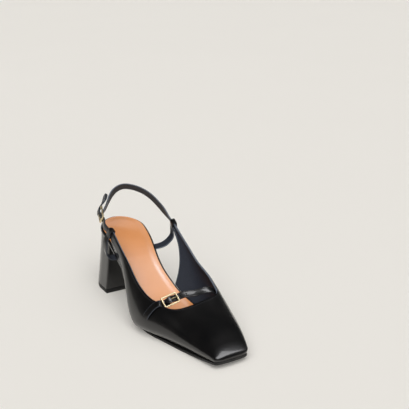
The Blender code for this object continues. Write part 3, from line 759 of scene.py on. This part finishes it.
bottom = {
    "boardRound": 0.0013,
    "sockRound": 0.0003,
    "soleRound": 0.0004,
    "across": 14,
    "sockAcross": 44,
    "steps": 110,
    "rimEdge": 0.0020,
    "rimSlope": 0.0060,
    "rimRise": 0.0004,
    "archRise": 0.0004,
    "archFrom": (0.20, 0.18),  # at, and the length of the slope
    "archTo": (0.66, 0.20),
    "toeShares": (0.985, 0.95, 0.90, 0.84, 0.77, 0.68, 0.58, 0.45, 0.30),
}
waistInset = SmoothLine(((0.17, 0.0030), (0.40, 0.0026), (0.52, 0.0006), (0.62, -0.0024), (1.0, -0.0022)))


def layerPlaces(first, last, roundedBack, inset):
    places = []
    backEnd = first
    if roundedBack:
        depth = shoe["backDepth"] - inset
        for step in range(1, 24):
            places.append(first + depth * (1.0 - math.cos(math.radians(step * 3.75))))
        backEnd = first + depth
    front = last - shoe["toeDepth"]
    for i in range(bottom["steps"] + 1):
        places.append(backEnd + (front - backEnd) * i / bottom["steps"])
    return places + toePlaces(front, bottom["toeShares"])


def ease(value):
    value = min(max(value, 0.0), 1.0)
    return value * value * (3.0 - 2.0 * value)


def sockOutline():
    border = shoe["sockBorder"]
    places = layerPlaces(0.0, shoe["length"] - shoe["wall"] - shoe["gap"] - border, True, border)
    edges = [[(boardEdge(s, side, border), s) for s in places] for side in (-1, 1)]
    return list(reversed(edges[0])) + edges[1]


def sockRelief(outline, s, x):  # how far the sock stands up from its rim and over the arch
    nearest = min((x - a) ** 2 + (s - b) ** 2 for a, b in outline) ** 0.5
    rise = bottom["rimRise"] * ease((nearest - bottom["rimEdge"]) / bottom["rimSlope"])
    at = s / shoe["length"]
    (start, rising), (end, falling) = bottom["archFrom"], bottom["archTo"]
    arch = ease((at - start) / rising) * ease((end - at) / falling)
    return rise + bottom["archRise"] * arch * ease((x + 0.012) / 0.040) * ease(nearest / 0.016)


def layer(places, inset, top, under, edge, across=0):
    # Rings across the bottom: over the top, round the medial edge, back underneath, round the lateral edge.
    corner = [(1.0 - math.cos(a), 1.0 - math.sin(a)) for a in map(math.radians, (0, 22.5, 45, 67.5))]
    count = across or bottom["across"]
    shares = [i / (count - 1) for i in range(count)]
    rings = []
    for s in places:
        left, right = boardEdge(s, -1, inset(s)), boardEdge(s, 1, inset(s))
        edgeHere = min(edge, 0.3 * (right - left))
        xs = [left + edgeHere + (right - left - 2.0 * edgeHere) * share for share in shares]
        ring = []
        for x, inward, first, second, down in ((right, -1, top, under, -1), (left, 1, under, top, 1)):
            ring += [spot(x, s, first(s, x)) for x in (xs if inward < 0 else reversed(xs))]
            ring += [spot(x + inward * edgeHere * out, s, first(s, x) + down * edge * drop)
                     for out, drop in reversed(corner)]
            ring += [spot(x + inward * edgeHere * out, s, second(s, x) - down * edge * drop)
                     for out, drop in corner]
        rings.append(ring)
    return skin(rings)


def buildBottom():
    border, gap, length = shoe["sockBorder"], shoe["gap"], shoe["length"]
    front = length - shoe["wall"] - gap
    board = layer(layerPlaces(-border, front, True, 0.0), lambda s: 0.0, boardOver, boardUnder,
                  bottom["boardRound"])
    makePiece("insoleBoard", board, [blackLeather], replaced=("insole_board",))
    outline = sockOutline()
    sock = layer(layerPlaces(0.0, front - border, True, border), lambda s: border,
                 lambda s, x: boardOver(s, x) + gap + shoe["sock"] + sockRelief(outline, s, x),
                 lambda s, x: boardOver(s, x) + 0.00005, bottom["sockRound"], bottom["sockAcross"])
    makePiece("sockLining", sock, [tanSock], replaced=("sock_lining",))
    rear = heel["breast"] + gap
    sole = layer(layerPlaces(rear, length + 0.0004, False, 0.0), lambda s: waistInset(s / length),
                 lambda s, x: soleUnder(s, x) + shoe["outsole"], soleUnder, bottom["soleRound"])
    makePiece("outsole", sole, [blackSole], replaced=("outsole",))


heel = {
    "tip": 0.005,
    "breast": 0.0395,
    "halfWidth": 0.0296,
    "overhang": 0.0048,
    "inset": 0.0006,
    "corner": 0.0013,
    "tipLine": 0.00035,
    "tipRound": ((0.0, 0.0008), (0.0003, 0.0004), (0.0009, 0.0001)),  # height, inset
    "seatShare": 0.625,
    "flarePower": 1.25,
}


def heelRing(share, height, shrink=0.0):  # share 0 at the floor, 1 at the board
    flare = (1.0 - share) ** heel["flarePower"]
    backTop = -shoe["sockBorder"] + heel["inset"]
    back = backTop + (-heel["overhang"] - backTop) * flare + shrink
    topHalf = heel["seatShare"] * shoe["halfWidth"] - heel["inset"]
    half = topHalf + (heel["halfWidth"] - topHalf) * flare - shrink
    front = heel["breast"] - shrink
    corner = heel["corner"]
    right = [(half * t, front) for t in (0.2, 0.4, 0.6, 0.8)]
    for degrees in (0, 18, 36, 54, 72, 90):
        angle = math.radians(degrees)
        right.append((half - corner + corner * math.sin(angle), front - corner + corner * math.cos(angle)))
    straight = back + shoe["backDepth"]
    for t in (0.25, 0.5, 0.75, 1.0):
        right.append((half, front - corner + (straight - front + corner) * t))
    for step in range(1, 24):
        angle = math.radians(90.0 - 3.75 * step)
        right.append((half * math.sin(angle), back + shoe["backDepth"] * (1.0 - math.cos(angle))))
    ring = [(0.0, front)] + right + [(0.0, back)] + [(-x, s) for x, s in reversed(right)]
    return [spot(x, s, height(s, x)) for x, s in ring]


def buildHeel():
    tip, line = heel["tip"], heel["tipLine"]
    levels = heel["tipRound"] + ((tip - line, 0.0001), (tip, line))
    rings = [heelRing(0.0, lambda s, x: z, shrink) for z, shrink in levels]
    makePiece("heelTip", skin(rings), [blackTip], replaced=("heel_tip",))
    foot = tip + shoe["gap"] * 0.3
    levels = [(0.0, 0.0004), (0.006, 0.0001)] + [(0.02 + 0.975 * i / 36, 0.0) for i in range(37)]
    rings = [heelRing(share, lambda s, x: foot + share * (boardUnder(s, x) - foot), shrink)
             for share, shrink in levels]
    makePiece("heelBlock", skin(rings), [heelLeather], replaced=("heel_block",))


buildBottom()
buildHeel()

print("pump: straps")

strap = {
    "thick": 0.0015,
    "slingWidth": 0.0066,
    "instepWidth": 0.0068,
    "instepThick": 0.0013,
    "loopWidth": 0.0064,
    "heelStrapWidth": 0.0078,
    "loopClearance": 0.0006,
    "crown": 0.00010,
    "groove": 0.00007,
    "grooveHalf": 0.00025,
    "stitchInset": 0.0009,
    "edgeCorner": 0.42,  # share of the thickness
    "point": 0.0042,  # length of a rounded free end
    "pointPower": 2.4,
    "pointNarrowing": 0.12,
    "holeRadius": 0.00105,
    "holeFloor": 0.3,  # below the middle, as a share of the thickness
}
strapStitch = {
    "pitch": 0.0021,
    "length": 0.0015,
    "radius": 0.00013,
    "margin": 0.0020,
}


def strapProfile(half, thick):
    # (across, out, material) round a strap's section: 0 outer face, 1 lining, 2 painted edge.
    flat = 0.5 * thick
    corner = strap["edgeCorner"] * thick
    seam, groove = half - strap["stitchInset"], strap["grooveHalf"]
    depth, crown = strap["groove"], strap["crown"]
    face = [(seam + groove, 0.0), (seam, -depth), (seam - groove, 0.0), (0.4 * half, crown)]
    points = [(-half + corner, flat, 0)] + [(-u, flat + lift, 0) for u, lift in face]
    points += [(0.0, flat + 1.3 * crown, 0)] + [(u, flat + lift, 0) for u, lift in reversed(face)]

    def bend(side, level, first):
        for turn in (0, 30, 60):
            angle = math.radians(first - turn)
            points.append((side * (half - corner) + corner * math.cos(angle),
                           level * (flat - corner) + corner * math.sin(angle), 2))

    bend(1, 1, 90)
    bend(1, -1, 0)
    points += [(u, -flat, 1) for u in (half - corner, 0.5 * half, 0.0, -0.5 * half)]
    bend(-1, -1, 270)
    bend(-1, 1, 180)
    return points


def sweepStrap(name, route, widths, facing, width, thick, materials,
               replaced=(), closedPath=False, point=0.0, holes=()):
    travelled = distances(route)
    rings = []
    frames = []
    for i, centre in enumerate(route):
        direction = heading(route, i, closedPath)
        across = square(widths[i], direction)
        out = direction.cross(across).normalized()
        side = 1.0
        if out.dot(facing[i]) < 0.0:
            out, side = -out, -1.0
        half = 0.5 * width
        left = travelled[-1] - travelled[i]
        if point and left < point:
            share = 1.0 - left / point
            half *= max(1.0 - share ** strap["pointPower"], 0.02) ** 0.5
            half *= 1.0 - strap["pointNarrowing"] * share
        profile = strapProfile(half, thick)
        rings.append([centre + across * u * side + out * v for u, v, _ in profile])
        frames.append((centre, across, out, half))
    shape = skin(rings, closedPath)
    kinds = [kind for _, _, kind in profile] * (len(rings) if closedPath else len(rings) - 1)
    kinds += [2] * (len(shape[1]) - len(kinds))
    item = makePiece(name, shape, materials, kinds, replaced)
    if not closedPath:
        stop = len(frames) - (int(point / (travelled[-1] / len(frames))) + 1 if point else 0)
        lift = 0.5 * thick - strap["groove"] * 0.6
        lines = [[(c + a * sign * (h - strap["stitchInset"]) + o * lift, o) for c, a, o, h in frames[:stop]]
                 for sign in (-1.0, 1.0)]
        sewing(name + "Stitches", lines, blackThread, strapStitch)
    for distance in holes:
        wanted = travelled[-1] - distance
        k = min(range(len(travelled)), key=lambda i: abs(travelled[i] - wanted))
        punch(item, thick, *frames[k][:3])


def punch(item, thick, centre, across, out):  # one round hole, not quite through
    rings = [hoop(centre + out * level, across, out.cross(across), strap["holeRadius"], 20)
             for level in (-strap["holeFloor"] * thick, thick)]
    cutter = newObject("punch", *skin(rings))
    cut = item.modifiers.new("hole", "BOOLEAN")
    cut.operation = "DIFFERENCE"
    cut.solver = "EXACT"
    cut.object = cutter
    bpy.context.view_layer.update()
    evaluated = item.evaluated_get(bpy.context.evaluated_depsgraph_get())
    carved = bpy.data.meshes.new_from_object(evaluated)
    item.modifiers.clear()
    old = item.data
    item.data = carved
    bpy.data.meshes.remove(old)
    bpy.data.objects.remove(cutter)


def armTip(side):
    topRows, rearRows = (lateralTop, lateralRear) if side < 0 else (medialTop, medialRear)
    ends = []
    for at, height in (topRows[-1], rearRows[-1]):
        s = at * shoe["length"]
        ends.append(lastPoint(s, aroundAt(s, boardUnder(s) + height * shoe["upperRise"], side)))
    up = (ends[0] - ends[1]).normalized()
    out = square(Vector((side, 0.0, 0.0)), up)
    alongArm = up.cross(out) * side
    if alongArm.y < 0.0:
        alongArm = -alongArm
    middle = 0.5 * (ends[0] + ends[1]) - out * 0.5 * shoe["wall"]
    return middle, alongArm, up, out, (ends[0] - ends[1]).length


strapSkins = [blackLeather, strapLining, slateEdge]
heelStrapSkins = [blackLeather, navyLining, slateEdge]
buckleStrapSkins = [blackLeather, navyLining, dimEdge]
instepSkins = [blackLeather, strapLining, blackEdge]

heelStrap = {
    "at": 0.262,  # where it leaves the board
    "steps": 48,
    "tuck": (0.0022, -0.0006),  # lower end under the board, inward and down
    "slack": 1.15,
    "bend": 0.0013,
    "play": 0.0010,  # of the loop round what it wraps
    "thinner": 0.0001,
}
lateralHeelStrap = {
    "past": 0.0009,  # from the arm's end to the near edge of the loop
    "lean": 0.0,
    "tail": 0.0030,
    "route": ((0.0045, 0.0, 0.0), (0.0092, 0.001, 0.0052), (0.0094, 0.002, 0.0130)),  # outward, y, z
}
medialHeelStrap = {
    "past": -0.0072,
    "lean": 0.6,
    "tail": 0.0036,
    "route": ((0.0052, -0.0002, -0.0004), (0.0112, -0.0003, 0.0010), (0.0164, -0.0006, 0.0046),
              (0.0196, -0.0012, 0.0100)),
}


def buildHeelStrap(side, name, node, own, skins):
    tip, alongArm, up, out, armWidth = armTip(side)
    half = 0.5 * strap["loopWidth"]
    middle = tip + alongArm * (half + own["past"])
    up = (up + Vector((0.0, 0.0, own["lean"]))).normalized()
    s = heelStrap["at"] * shoe["length"]
    x = side * max(side * boardEdge(s + step, side, -shoe["gap"]) for step in (-half, 0.0, half))
    start = spot(x, s, boardUnder(s, x) + 0.5 * shoe["board"]) + Vector((side * 0.5 * shoe["gap"], 0.0, 0.0))
    ahead, behind = (spot(boardEdge(place, side, 0.0), place, boardUnder(place, x))
                     for place in (s + 0.004, s - 0.004))
    edge = (ahead - behind).normalized()
    lift = -side * (0.5 * shoe["wall"] + strap["loopClearance"] + 0.5 * strap["thick"])
    inward, down = heelStrap["tuck"]
    points = [start + Vector((-side * inward, 0.0, down))]
    points += [start + Vector((side * outward, y, z)) for outward, y, z in own["route"]]
    points += [middle - up * (0.5 * armWidth + own["tail"]) + out * lift * heelStrap["slack"],
               middle - up * 0.5 * armWidth + out * lift,
               middle - up * 0.15 * armWidth + out * lift]
    steps = heelStrap["steps"]
    widths = [(-edge).lerp(alongArm, i / steps).normalized() for i in range(steps + 1)]
    hint = Vector((side, 0.0, -0.6)).normalized()
    sweepStrap(name, smoothRoute(points, steps), widths, [hint] * (steps + 1), strap["heelStrapWidth"],
               strap["thick"] - heelStrap["thinner"], skins, replaced=(node,))
    # The loop is a band wrapped round the strap where the arm ends.
    wrapped = strap["slingWidth"] if side < 0 else armWidth
    middleUp = 0.5 * (wrapped + heelStrap["play"]) + 0.5 * strap["thick"]
    middleOut = 0.5 * shoe["wall"] + strap["loopClearance"] + 0.5 * strap["thick"]
    loop = []
    facing = []
    for over, beyond, angle in roundedBox(middleUp, middleOut, heelStrap["bend"], 7):
        loop.append(middle + up * over + out * beyond)
        facing.append(up * math.cos(angle) + out * math.sin(angle))
    sweepStrap(name + "Loop", loop, [alongArm] * len(loop), facing, strap["loopWidth"], strap["thick"],
               [blackLeather, strapLining, blackEdge], closedPath=True)


buildHeelStrap(-1, "heelStrapLateral", "heel_strap_lateral", lateralHeelStrap, buckleStrapSkins)
buildHeelStrap(1, "heelStrapMedial", "heel_strap_medial", medialHeelStrap, heelStrapSkins)

buckle = {
    "length": 0.0172,
    "width": 0.0108,
    "wire": 0.0013,
    "thickWire": 0.0016,  # as it is drawn
    "wireSquareness": 3.2,
    "corner": 0.0011,
    "prong": 0.00042,
    "prongRoute": ((0.0010, 0.75), (0.0026, 1.0), (0.0050, 0.80)),  # ahead, share of the rise
}


def buildBuckle(name, centre, direction, across, outward, node):
    out = direction.cross(across).normalized()
    wire = 0.5 * buckle["wire"]
    halfWidth = 0.5 * buckle["width"] - wire
    power = buckle["wireSquareness"]
    section = []
    for i in range(12):
        c, s = math.cos(2.0 * math.pi * (i + 0.5) / 12), math.sin(2.0 * math.pi * (i + 0.5) / 12)
        reach = 0.5 * buckle["thickWire"] / (abs(c) ** power + abs(s) ** power) ** (1.0 / power)
        section.append((c * reach, s * reach))
    rings = []
    for ahead, over, angle in roundedBox(0.5 * buckle["length"] - wire, halfWidth, buckle["corner"], 6):
        middle = centre + direction * ahead + across * over
        sideways = direction * math.cos(angle) + across * math.sin(angle)
        rings.append([middle + sideways * u + out * v for u, v in section])
    makePiece(name, skin(rings, True), [goldMetal], replaced=(node,))
    bar = [hoop(centre + across * halfWidth * (i / 5 - 1.0), direction, out, wire * 0.85, 12)
           for i in range(11)]
    makePiece(name + "Bar", skin(bar), [goldMetal])
    # The prong runs from the bar through a hole of the strap, over it and down on the frame's far end.
    prong = buckle["prong"]
    rise = wire + shoe["gap"] + strap["thick"] + prong
    points = [centre + outward * 0.0004]
    points += [centre - direction * ahead + outward * rise * share for ahead, share in buckle["prongRoute"]]
    points += [centre - direction * (0.5 * buckle["length"] - 0.0002) + outward * (wire + prong * 0.8)]
    steps = 26
    route = smoothRoute(points, steps)
    rings = []
    for i, point in enumerate(route):
        forward = heading(route, i)
        sideways = forward.cross(outward).normalized()
        radius = prong * (1.15 - 0.45 * i / steps) * (0.4 if i == steps else 1.0)
        rings.append(hoop(point, sideways * 1.2, sideways.cross(forward) * 0.8, radius, 10))
    makePiece(name.replace("Buckle", "Prong"), skin(rings), [goldMetal])


def squareTo(along, over, towards):  # a buckle's three directions, square to one another
    along = Vector(along).normalized()
    over = square(Vector(over), along)
    outward = over.cross(along).normalized()
    return along, over, outward if outward.dot(Vector(towards)) > 0.0 else -outward


def throughBuckle(centre, direction, outward, step, rows):
    return [centre + direction * ahead + outward * out * step for ahead, out in rows]


sling = {
    "rise": 0.0320,
    "route": (  # at, x, height, lean
        (0.237, 0.978, 0.367, -14), (0.208, 0.972, 0.462, -18), (0.144, 0.957, 0.629, -16),
        (0.085, 0.893, 0.801, -8), (0.032, 0.773, 0.918, 0), (-0.011, 0.601, 0.982, 0),
        (-0.034, 0.372, 0.995, 0), (-0.036, 0.174, 0.912, 0), (-0.019, -0.020, 0.779, 4),
        (0.015, -0.207, 0.656, 8), (0.061, -0.410, 0.581, 10), (0.097, -0.575, 0.560, 12)),
    "steps": 120,
    "lastLean": 20,
    "twist": (0.125, 0.88),  # turned off the arm until, and onto the buckle from
    "buckle": (0.127, -0.715, 0.585),  # at, x, height
    "along": (0.27, 0.85, 0.42),
    "over": (0.20, -0.41, 0.89),
    "freeEnd": (0.030, -0.300, 1.00),
    "freeRows": ((-0.0150, -0.9), (-0.0078, -1.0), (0.0, 1.0), (0.0060, 1.0)),  # ahead, out
    "freeSteps": 90,
    "freeNarrower": 0.0006,
    "holes": (0.0085, 0.0145),
}


def slingSpot(at, x, height):
    return spot(x * shoe["halfWidth"], at * shoe["length"], boardOver(0.0) + height * sling["rise"])


def buildSling():
    middle, alongArm, up, _, _ = armTip(1)
    centre = slingSpot(*sling["buckle"])
    direction, across, outward = squareTo(sling["along"], sling["over"], (-1.0, 0.0, 0.0))
    buildBuckle("slingBuckle", centre, direction, across, outward, "sling_buckle")
    step = 0.5 * buckle["wire"] + shoe["gap"] + 0.5 * strap["thick"] + 0.0001
    points = [middle + alongArm * 0.0006] + [slingSpot(*row[:3]) for row in sling["route"]]
    points += [centre + direction * 0.0005 - outward * step]
    leans = [0.0] + [row[3] for row in sling["route"]] + [sling["lastLean"]]
    steps = sling["steps"]
    route = smoothRoute(points, steps)
    lengths = distances(points)
    leanLine = SmoothLine([(d, math.radians(lean)) for d, lean in zip(lengths, leans)])
    middleOfHeel = spot(0.1 * shoe["halfWidth"], 0.13 * shoe["length"], 0.0)
    offArm, ontoBuckle = sling["twist"]
    widths = []
    facing = []
    for i, point in enumerate(route):
        share = i / steps
        forward = heading(route, i)
        outwards = Vector((point.x - middleOfHeel.x, point.y - middleOfHeel.y, 0.0))
        facing.append(outwards.normalized())
        outwards = square(outwards, forward)
        upward = forward.cross(outwards).normalized()
        if upward.z < 0.0:
            upward = -upward
        lean = leanLine(lengths[-1] * i / steps)
        turned = (upward * math.cos(lean) - outwards * math.sin(lean)).normalized()
        if share < offArm:
            turned = up.lerp(turned, share / offArm).normalized()
        if share > ontoBuckle:
            turned = turned.lerp(across, (share - ontoBuckle) / (1.0 - ontoBuckle)).normalized()
        widths.append(turned)
    sweepStrap("slingStrap", route, widths, facing, strap["slingWidth"], strap["thick"], strapSkins,
               replaced=("sling_strap",))
    lateral, lateralAlong, lateralUp, _, _ = armTip(-1)
    freeEnd = slingSpot(*sling["freeEnd"])
    points = [lateral + lateralAlong * 0.0007, lateral + lateralAlong * 0.0050]
    points += throughBuckle(centre, direction, outward, step, sling["freeRows"])
    points += [centre * 0.46 + freeEnd * 0.54 + outward * 0.0008, freeEnd]
    steps = sling["freeSteps"]
    loose = (freeEnd - centre).normalized()
    turned = (across * 0.85 + loose.cross(across) * 0.52).normalized()
    widths = []
    for i in range(steps + 1):
        width = lateralUp.lerp(across, min(3.0 * i / steps, 1.0))
        widths.append(width.lerp(turned, ease((i / steps - 0.62) / 0.30)).normalized())
    sweepStrap("buckleStrap", smoothRoute(points, steps), widths, [outward] * (steps + 1),
               strap["slingWidth"] - sling["freeNarrower"], strap["thick"], buckleStrapSkins,
               replaced=("buckle_strap",), point=strap["point"], holes=sling["holes"])


instep = {
    "steps": 80,
    "sideRows": 34,
    "buckle": (-0.352, 0.664, 0.0388),  # x in shares of halfWidth, at, z
    "along": (-0.985, -0.02, -0.17),
    "over": (0.0, 0.70, 0.70),
    "sideways": (0.0, 0.80, 0.60),
    "start": (0.685, 0.775),  # at and around, inside the upper
    "startDepth": 0.0011,
    "route": ((0.800, 0.684, 0.0396), (0.600, 0.680, 0.0417), (0.340, 0.672, 0.0405)),
    "freeRows": ((-0.0130, -0.8), (-0.0079, -1.0), (0.0, 1.0), (0.0052, 0.75)),  # ahead, out
    "holes": (0.0172, 0.0234),
    "sideStart": ((0.0012, -1.0), (0.0088, -1.0), (0.0106, -1.0)),
    "sideRise": 0.0012,
    "sideAt": (0.656, -0.024),  # at and its change over the sewn length
    "sideAround": (0.272, -0.099),
    "sideClear": (0.0002, 0.0011),
    "sidePoints": 7,
}


def buildInstep():
    thick = strap["instepThick"]
    wall, gap = shoe["wall"], shoe["gap"]

    def across(x, at, z):
        return spot(x * shoe["halfWidth"], at * shoe["length"], z)

    centre = across(*instep["buckle"])
    direction, over, outward = squareTo(instep["along"], instep["over"], (0.0, 0.0, 1.0))
    buildBuckle("instepBuckle", centre, direction, over, outward, "instep_buckle")
    step = 0.5 * buckle["wire"] + gap + 0.5 * thick
    at, around = instep["start"]
    point, out = lastFrame(at * shoe["length"], around)
    points = [point - out * (wall + gap + 0.5 * strap["thick"] + instep["startDepth"])]
    points += [across(*row) for row in instep["route"]]
    points += throughBuckle(centre, direction, outward, step, instep["freeRows"])
    steps = instep["steps"]
    sideways = Vector(instep["sideways"])
    widths = [sideways.lerp(over, ease(i / steps * 2.2)).normalized() for i in range(steps + 1)]
    sweepStrap("instepStrap", smoothRoute(points, steps), widths, [outward] * (steps + 1),
               strap["instepWidth"], thick, instepSkins,
               replaced=("instep_strap",), point=strap["point"], holes=instep["holes"])
    points = throughBuckle(centre, direction, outward, step, instep["sideStart"])
    points[-1] += Vector((0.0, 0.0, instep["sideRise"]))
    at, atChange = instep["sideAt"]
    around, aroundChange = instep["sideAround"]
    nearest, lifted = instep["sideClear"]
    _, firstOut = lastFrame(at * shoe["length"], around)
    outs = [outward, outward, (outward * 0.6 + firstOut * 0.4).normalized()]
    for i in range(instep["sidePoints"]):
        share = i / (instep["sidePoints"] - 1)
        s = (at + atChange * share ** 0.7) * shoe["length"]
        point, out = lastFrame(s, around + aroundChange * share)
        points.append(point + out * (gap + 0.5 * thick + nearest + lifted * (1.0 - share)))
        outs.append(out)
    steps = instep["sideRows"]
    lengths = distances(points)
    outCurve = lineThrough(lengths, outs)
    route = smoothRoute(points, steps)
    facing = [outCurve(lengths[-1] * i / steps).normalized() for i in range(steps + 1)]
    widths = [heading(route, i).cross(out).normalized() for i, out in enumerate(facing)]
    sweepStrap("instepSideStrap", route, widths, facing, strap["instepWidth"], thick, buckleStrapSkins,
               replaced=("instep_side_strap",))


buildSling()
buildInstep()

print("pump: floor, light and camera")

studio = {
    "floor": (0.800, 0.772, 0.722),
    "floorGlow": 0.15,
    "wall": (0.787, 0.765, 0.715),
    "reach": 9.0,
    "sky": (0.95, 0.95, 0.97),
    "skyStrength": 0.035,
    "aim": (0.0, -0.08, 0.03),
    "softboxes": (  # name, direction from the shoe, distance, width, height, brightness, colour
        ("toeSoftbox", (0.31, -0.46, 0.80), 1.6, 0.60, 0.70, 6.0, (0.98, 0.98, 1.0)),
        ("backSoftbox", (-0.10, 0.95, 0.32), 1.8, 1.40, 0.36, 1.4, (0.97, 0.98, 1.0)),
        ("sideSoftbox", (0.95, -0.10, 0.30), 1.8, 1.00, 0.40, 1.4, (1.0, 0.99, 0.97)),
        ("leftSoftbox", (-0.80, -0.30, 0.62), 1.8, 0.70, 0.40, 1.2, (1.0, 0.99, 0.97)),
    ),
    "sockSoftboxes": (
        ("sockSoftbox", (0.49, -0.08, 0.87), 1.6, 0.42, 0.20, 84.0, (0.66, 0.88, 1.0)),
        ("seatSoftbox", (0.39, 0.69, 0.61), 1.8, 0.80, 0.22, 2.6, (0.80, 0.92, 1.0)),
    ),
    "fill": (  # name, direction it comes from, strength, spread in degrees
        ("overheadLight", (0.00, -0.10, 1.0), 0.80, 110.0),
        ("frontLight", (-0.34, -0.50, 0.82), 2.25, 66.0),
    ),
}
view = {
    "place": (-0.34963, -0.75449, 0.38582),
    "turn": 31.2406,
    "down": 19.5314,
    "roll": 0.4465,
    "focus": 799.96,
    "picture": 409.0,
}


def hangLight(name, kind, direction, brightness):
    data = bpy.data.lights.new(name, kind)
    data.energy = brightness
    lamp = bpy.data.objects.new(name, data)
    lamp.rotation_euler = (-Vector(direction)).to_track_quat("-Z", "Y").to_euler()
    bpy.context.scene.collection.objects.link(lamp)
    return lamp


def hangSoftbox(name, direction, distance, width, height, brightness, colour):
    lamp = hangLight(name, "AREA", direction, brightness * math.pi * width * height)
    lamp.data.shape = "RECTANGLE"
    lamp.data.size, lamp.data.size_y = width, height
    lamp.data.color = colour
    lamp.location = Vector(studio["aim"]) + Vector(direction).normalized() * distance
    lamp.visible_diffuse = False
    return lamp


def stagePiece(name, vertices, faces, glow, strength, grain, first, second, roughness, specular):
    item = newObject(name, vertices, faces)
    bench = Bench(name + " paper")
    bench.shader.inputs["Emission Color"].default_value = (*glow, 1.0)
    bench.shader.inputs["Emission Strength"].default_value = strength
    colour = bench.blendColours(bench.noise(grain), first, second)
    item.data.materials.append(bench.finish(colour=colour, roughness=roughness, specular=specular))
    return item


def buildStudio():
    reach, pale = studio["reach"], studio["floor"]
    corners = [(-reach, -reach, 0.0), (reach, -reach, 0.0), (reach, reach, 0.0), (-reach, reach, 0.0)]
    floor = stagePiece(
        "floor", corners, [(0, 1, 2, 3)], glow=pale, strength=studio["floorGlow"], grain=3.0,
        first=pale, second=tuple(0.985 * c for c in pale), roughness=0.9, specular=0.1)
    # A pale wall far round the floor, for the camera alone, so that no view ends in a dark room.
    x, y = Vector((1.0, 0.0, 0.0)), Vector((0.0, 1.0, 0.0))
    around = 48
    low, high = (hoop(Vector((0.0, 0.0, z)), x, y, 0.98 * reach, around) for z in (-0.5, 2.0 * reach))
    faces = [(i, (i + 1) % around, around + (i + 1) % around, around + i) for i in range(around)]
    backdrop = stagePiece(
        "backdrop", low + high, faces, glow=studio["wall"], strength=1.0, grain=0.2,
        first=(0.0, 0.0, 0.0), second=(0.01, 0.01, 0.01), roughness=1.0, specular=0.0)
    for rays in ("visible_diffuse", "visible_glossy", "visible_transmission", "visible_shadow"):
        setattr(backdrop, rays, False)
    world = bpy.data.worlds.new("studio")
    world.use_nodes = True
    colour, strength = world.node_tree.nodes["Background"].inputs[:2]
    colour.default_value, strength.default_value = (*studio["sky"], 1.0), studio["skyStrength"]
    bpy.context.scene.world = world
    # The softboxes show only as highlights; the two broad lights carry the even floor.
    for row in studio["softboxes"]:
        hangSoftbox(*row)
    lit = bpy.data.collections.new("sock sheen")
    lit.objects.link(bpy.data.objects["sockLining"])
    for row in studio["sockSoftboxes"]:
        hangSoftbox(*row).light_linking.receiver_collection = lit
    for name, direction, strength, spread in studio["fill"]:
        lamp = hangLight(name, "SUN", direction, strength)
        lamp.data.angle = math.radians(spread)
        lamp.visible_glossy = False
    bpy.context.scene.view_settings.view_transform = "Standard"


def buildCamera():
    place = Matrix.Translation(view["place"])
    for degrees, axis in ((-view["turn"], "Z"), (90.0 - view["down"], "X"), (view["roll"], "Z")):
        place = place @ Matrix.Rotation(math.radians(degrees), 4, axis)
    data = bpy.data.cameras.new("camera")
    data.sensor_width = 36.0
    data.lens = view["focus"] / view["picture"] * data.sensor_width
    camera = bpy.data.objects.new("camera", data)
    camera.matrix_world = place
    bpy.context.scene.collection.objects.link(camera)
    bpy.context.scene.camera = camera


buildStudio()
buildCamera()
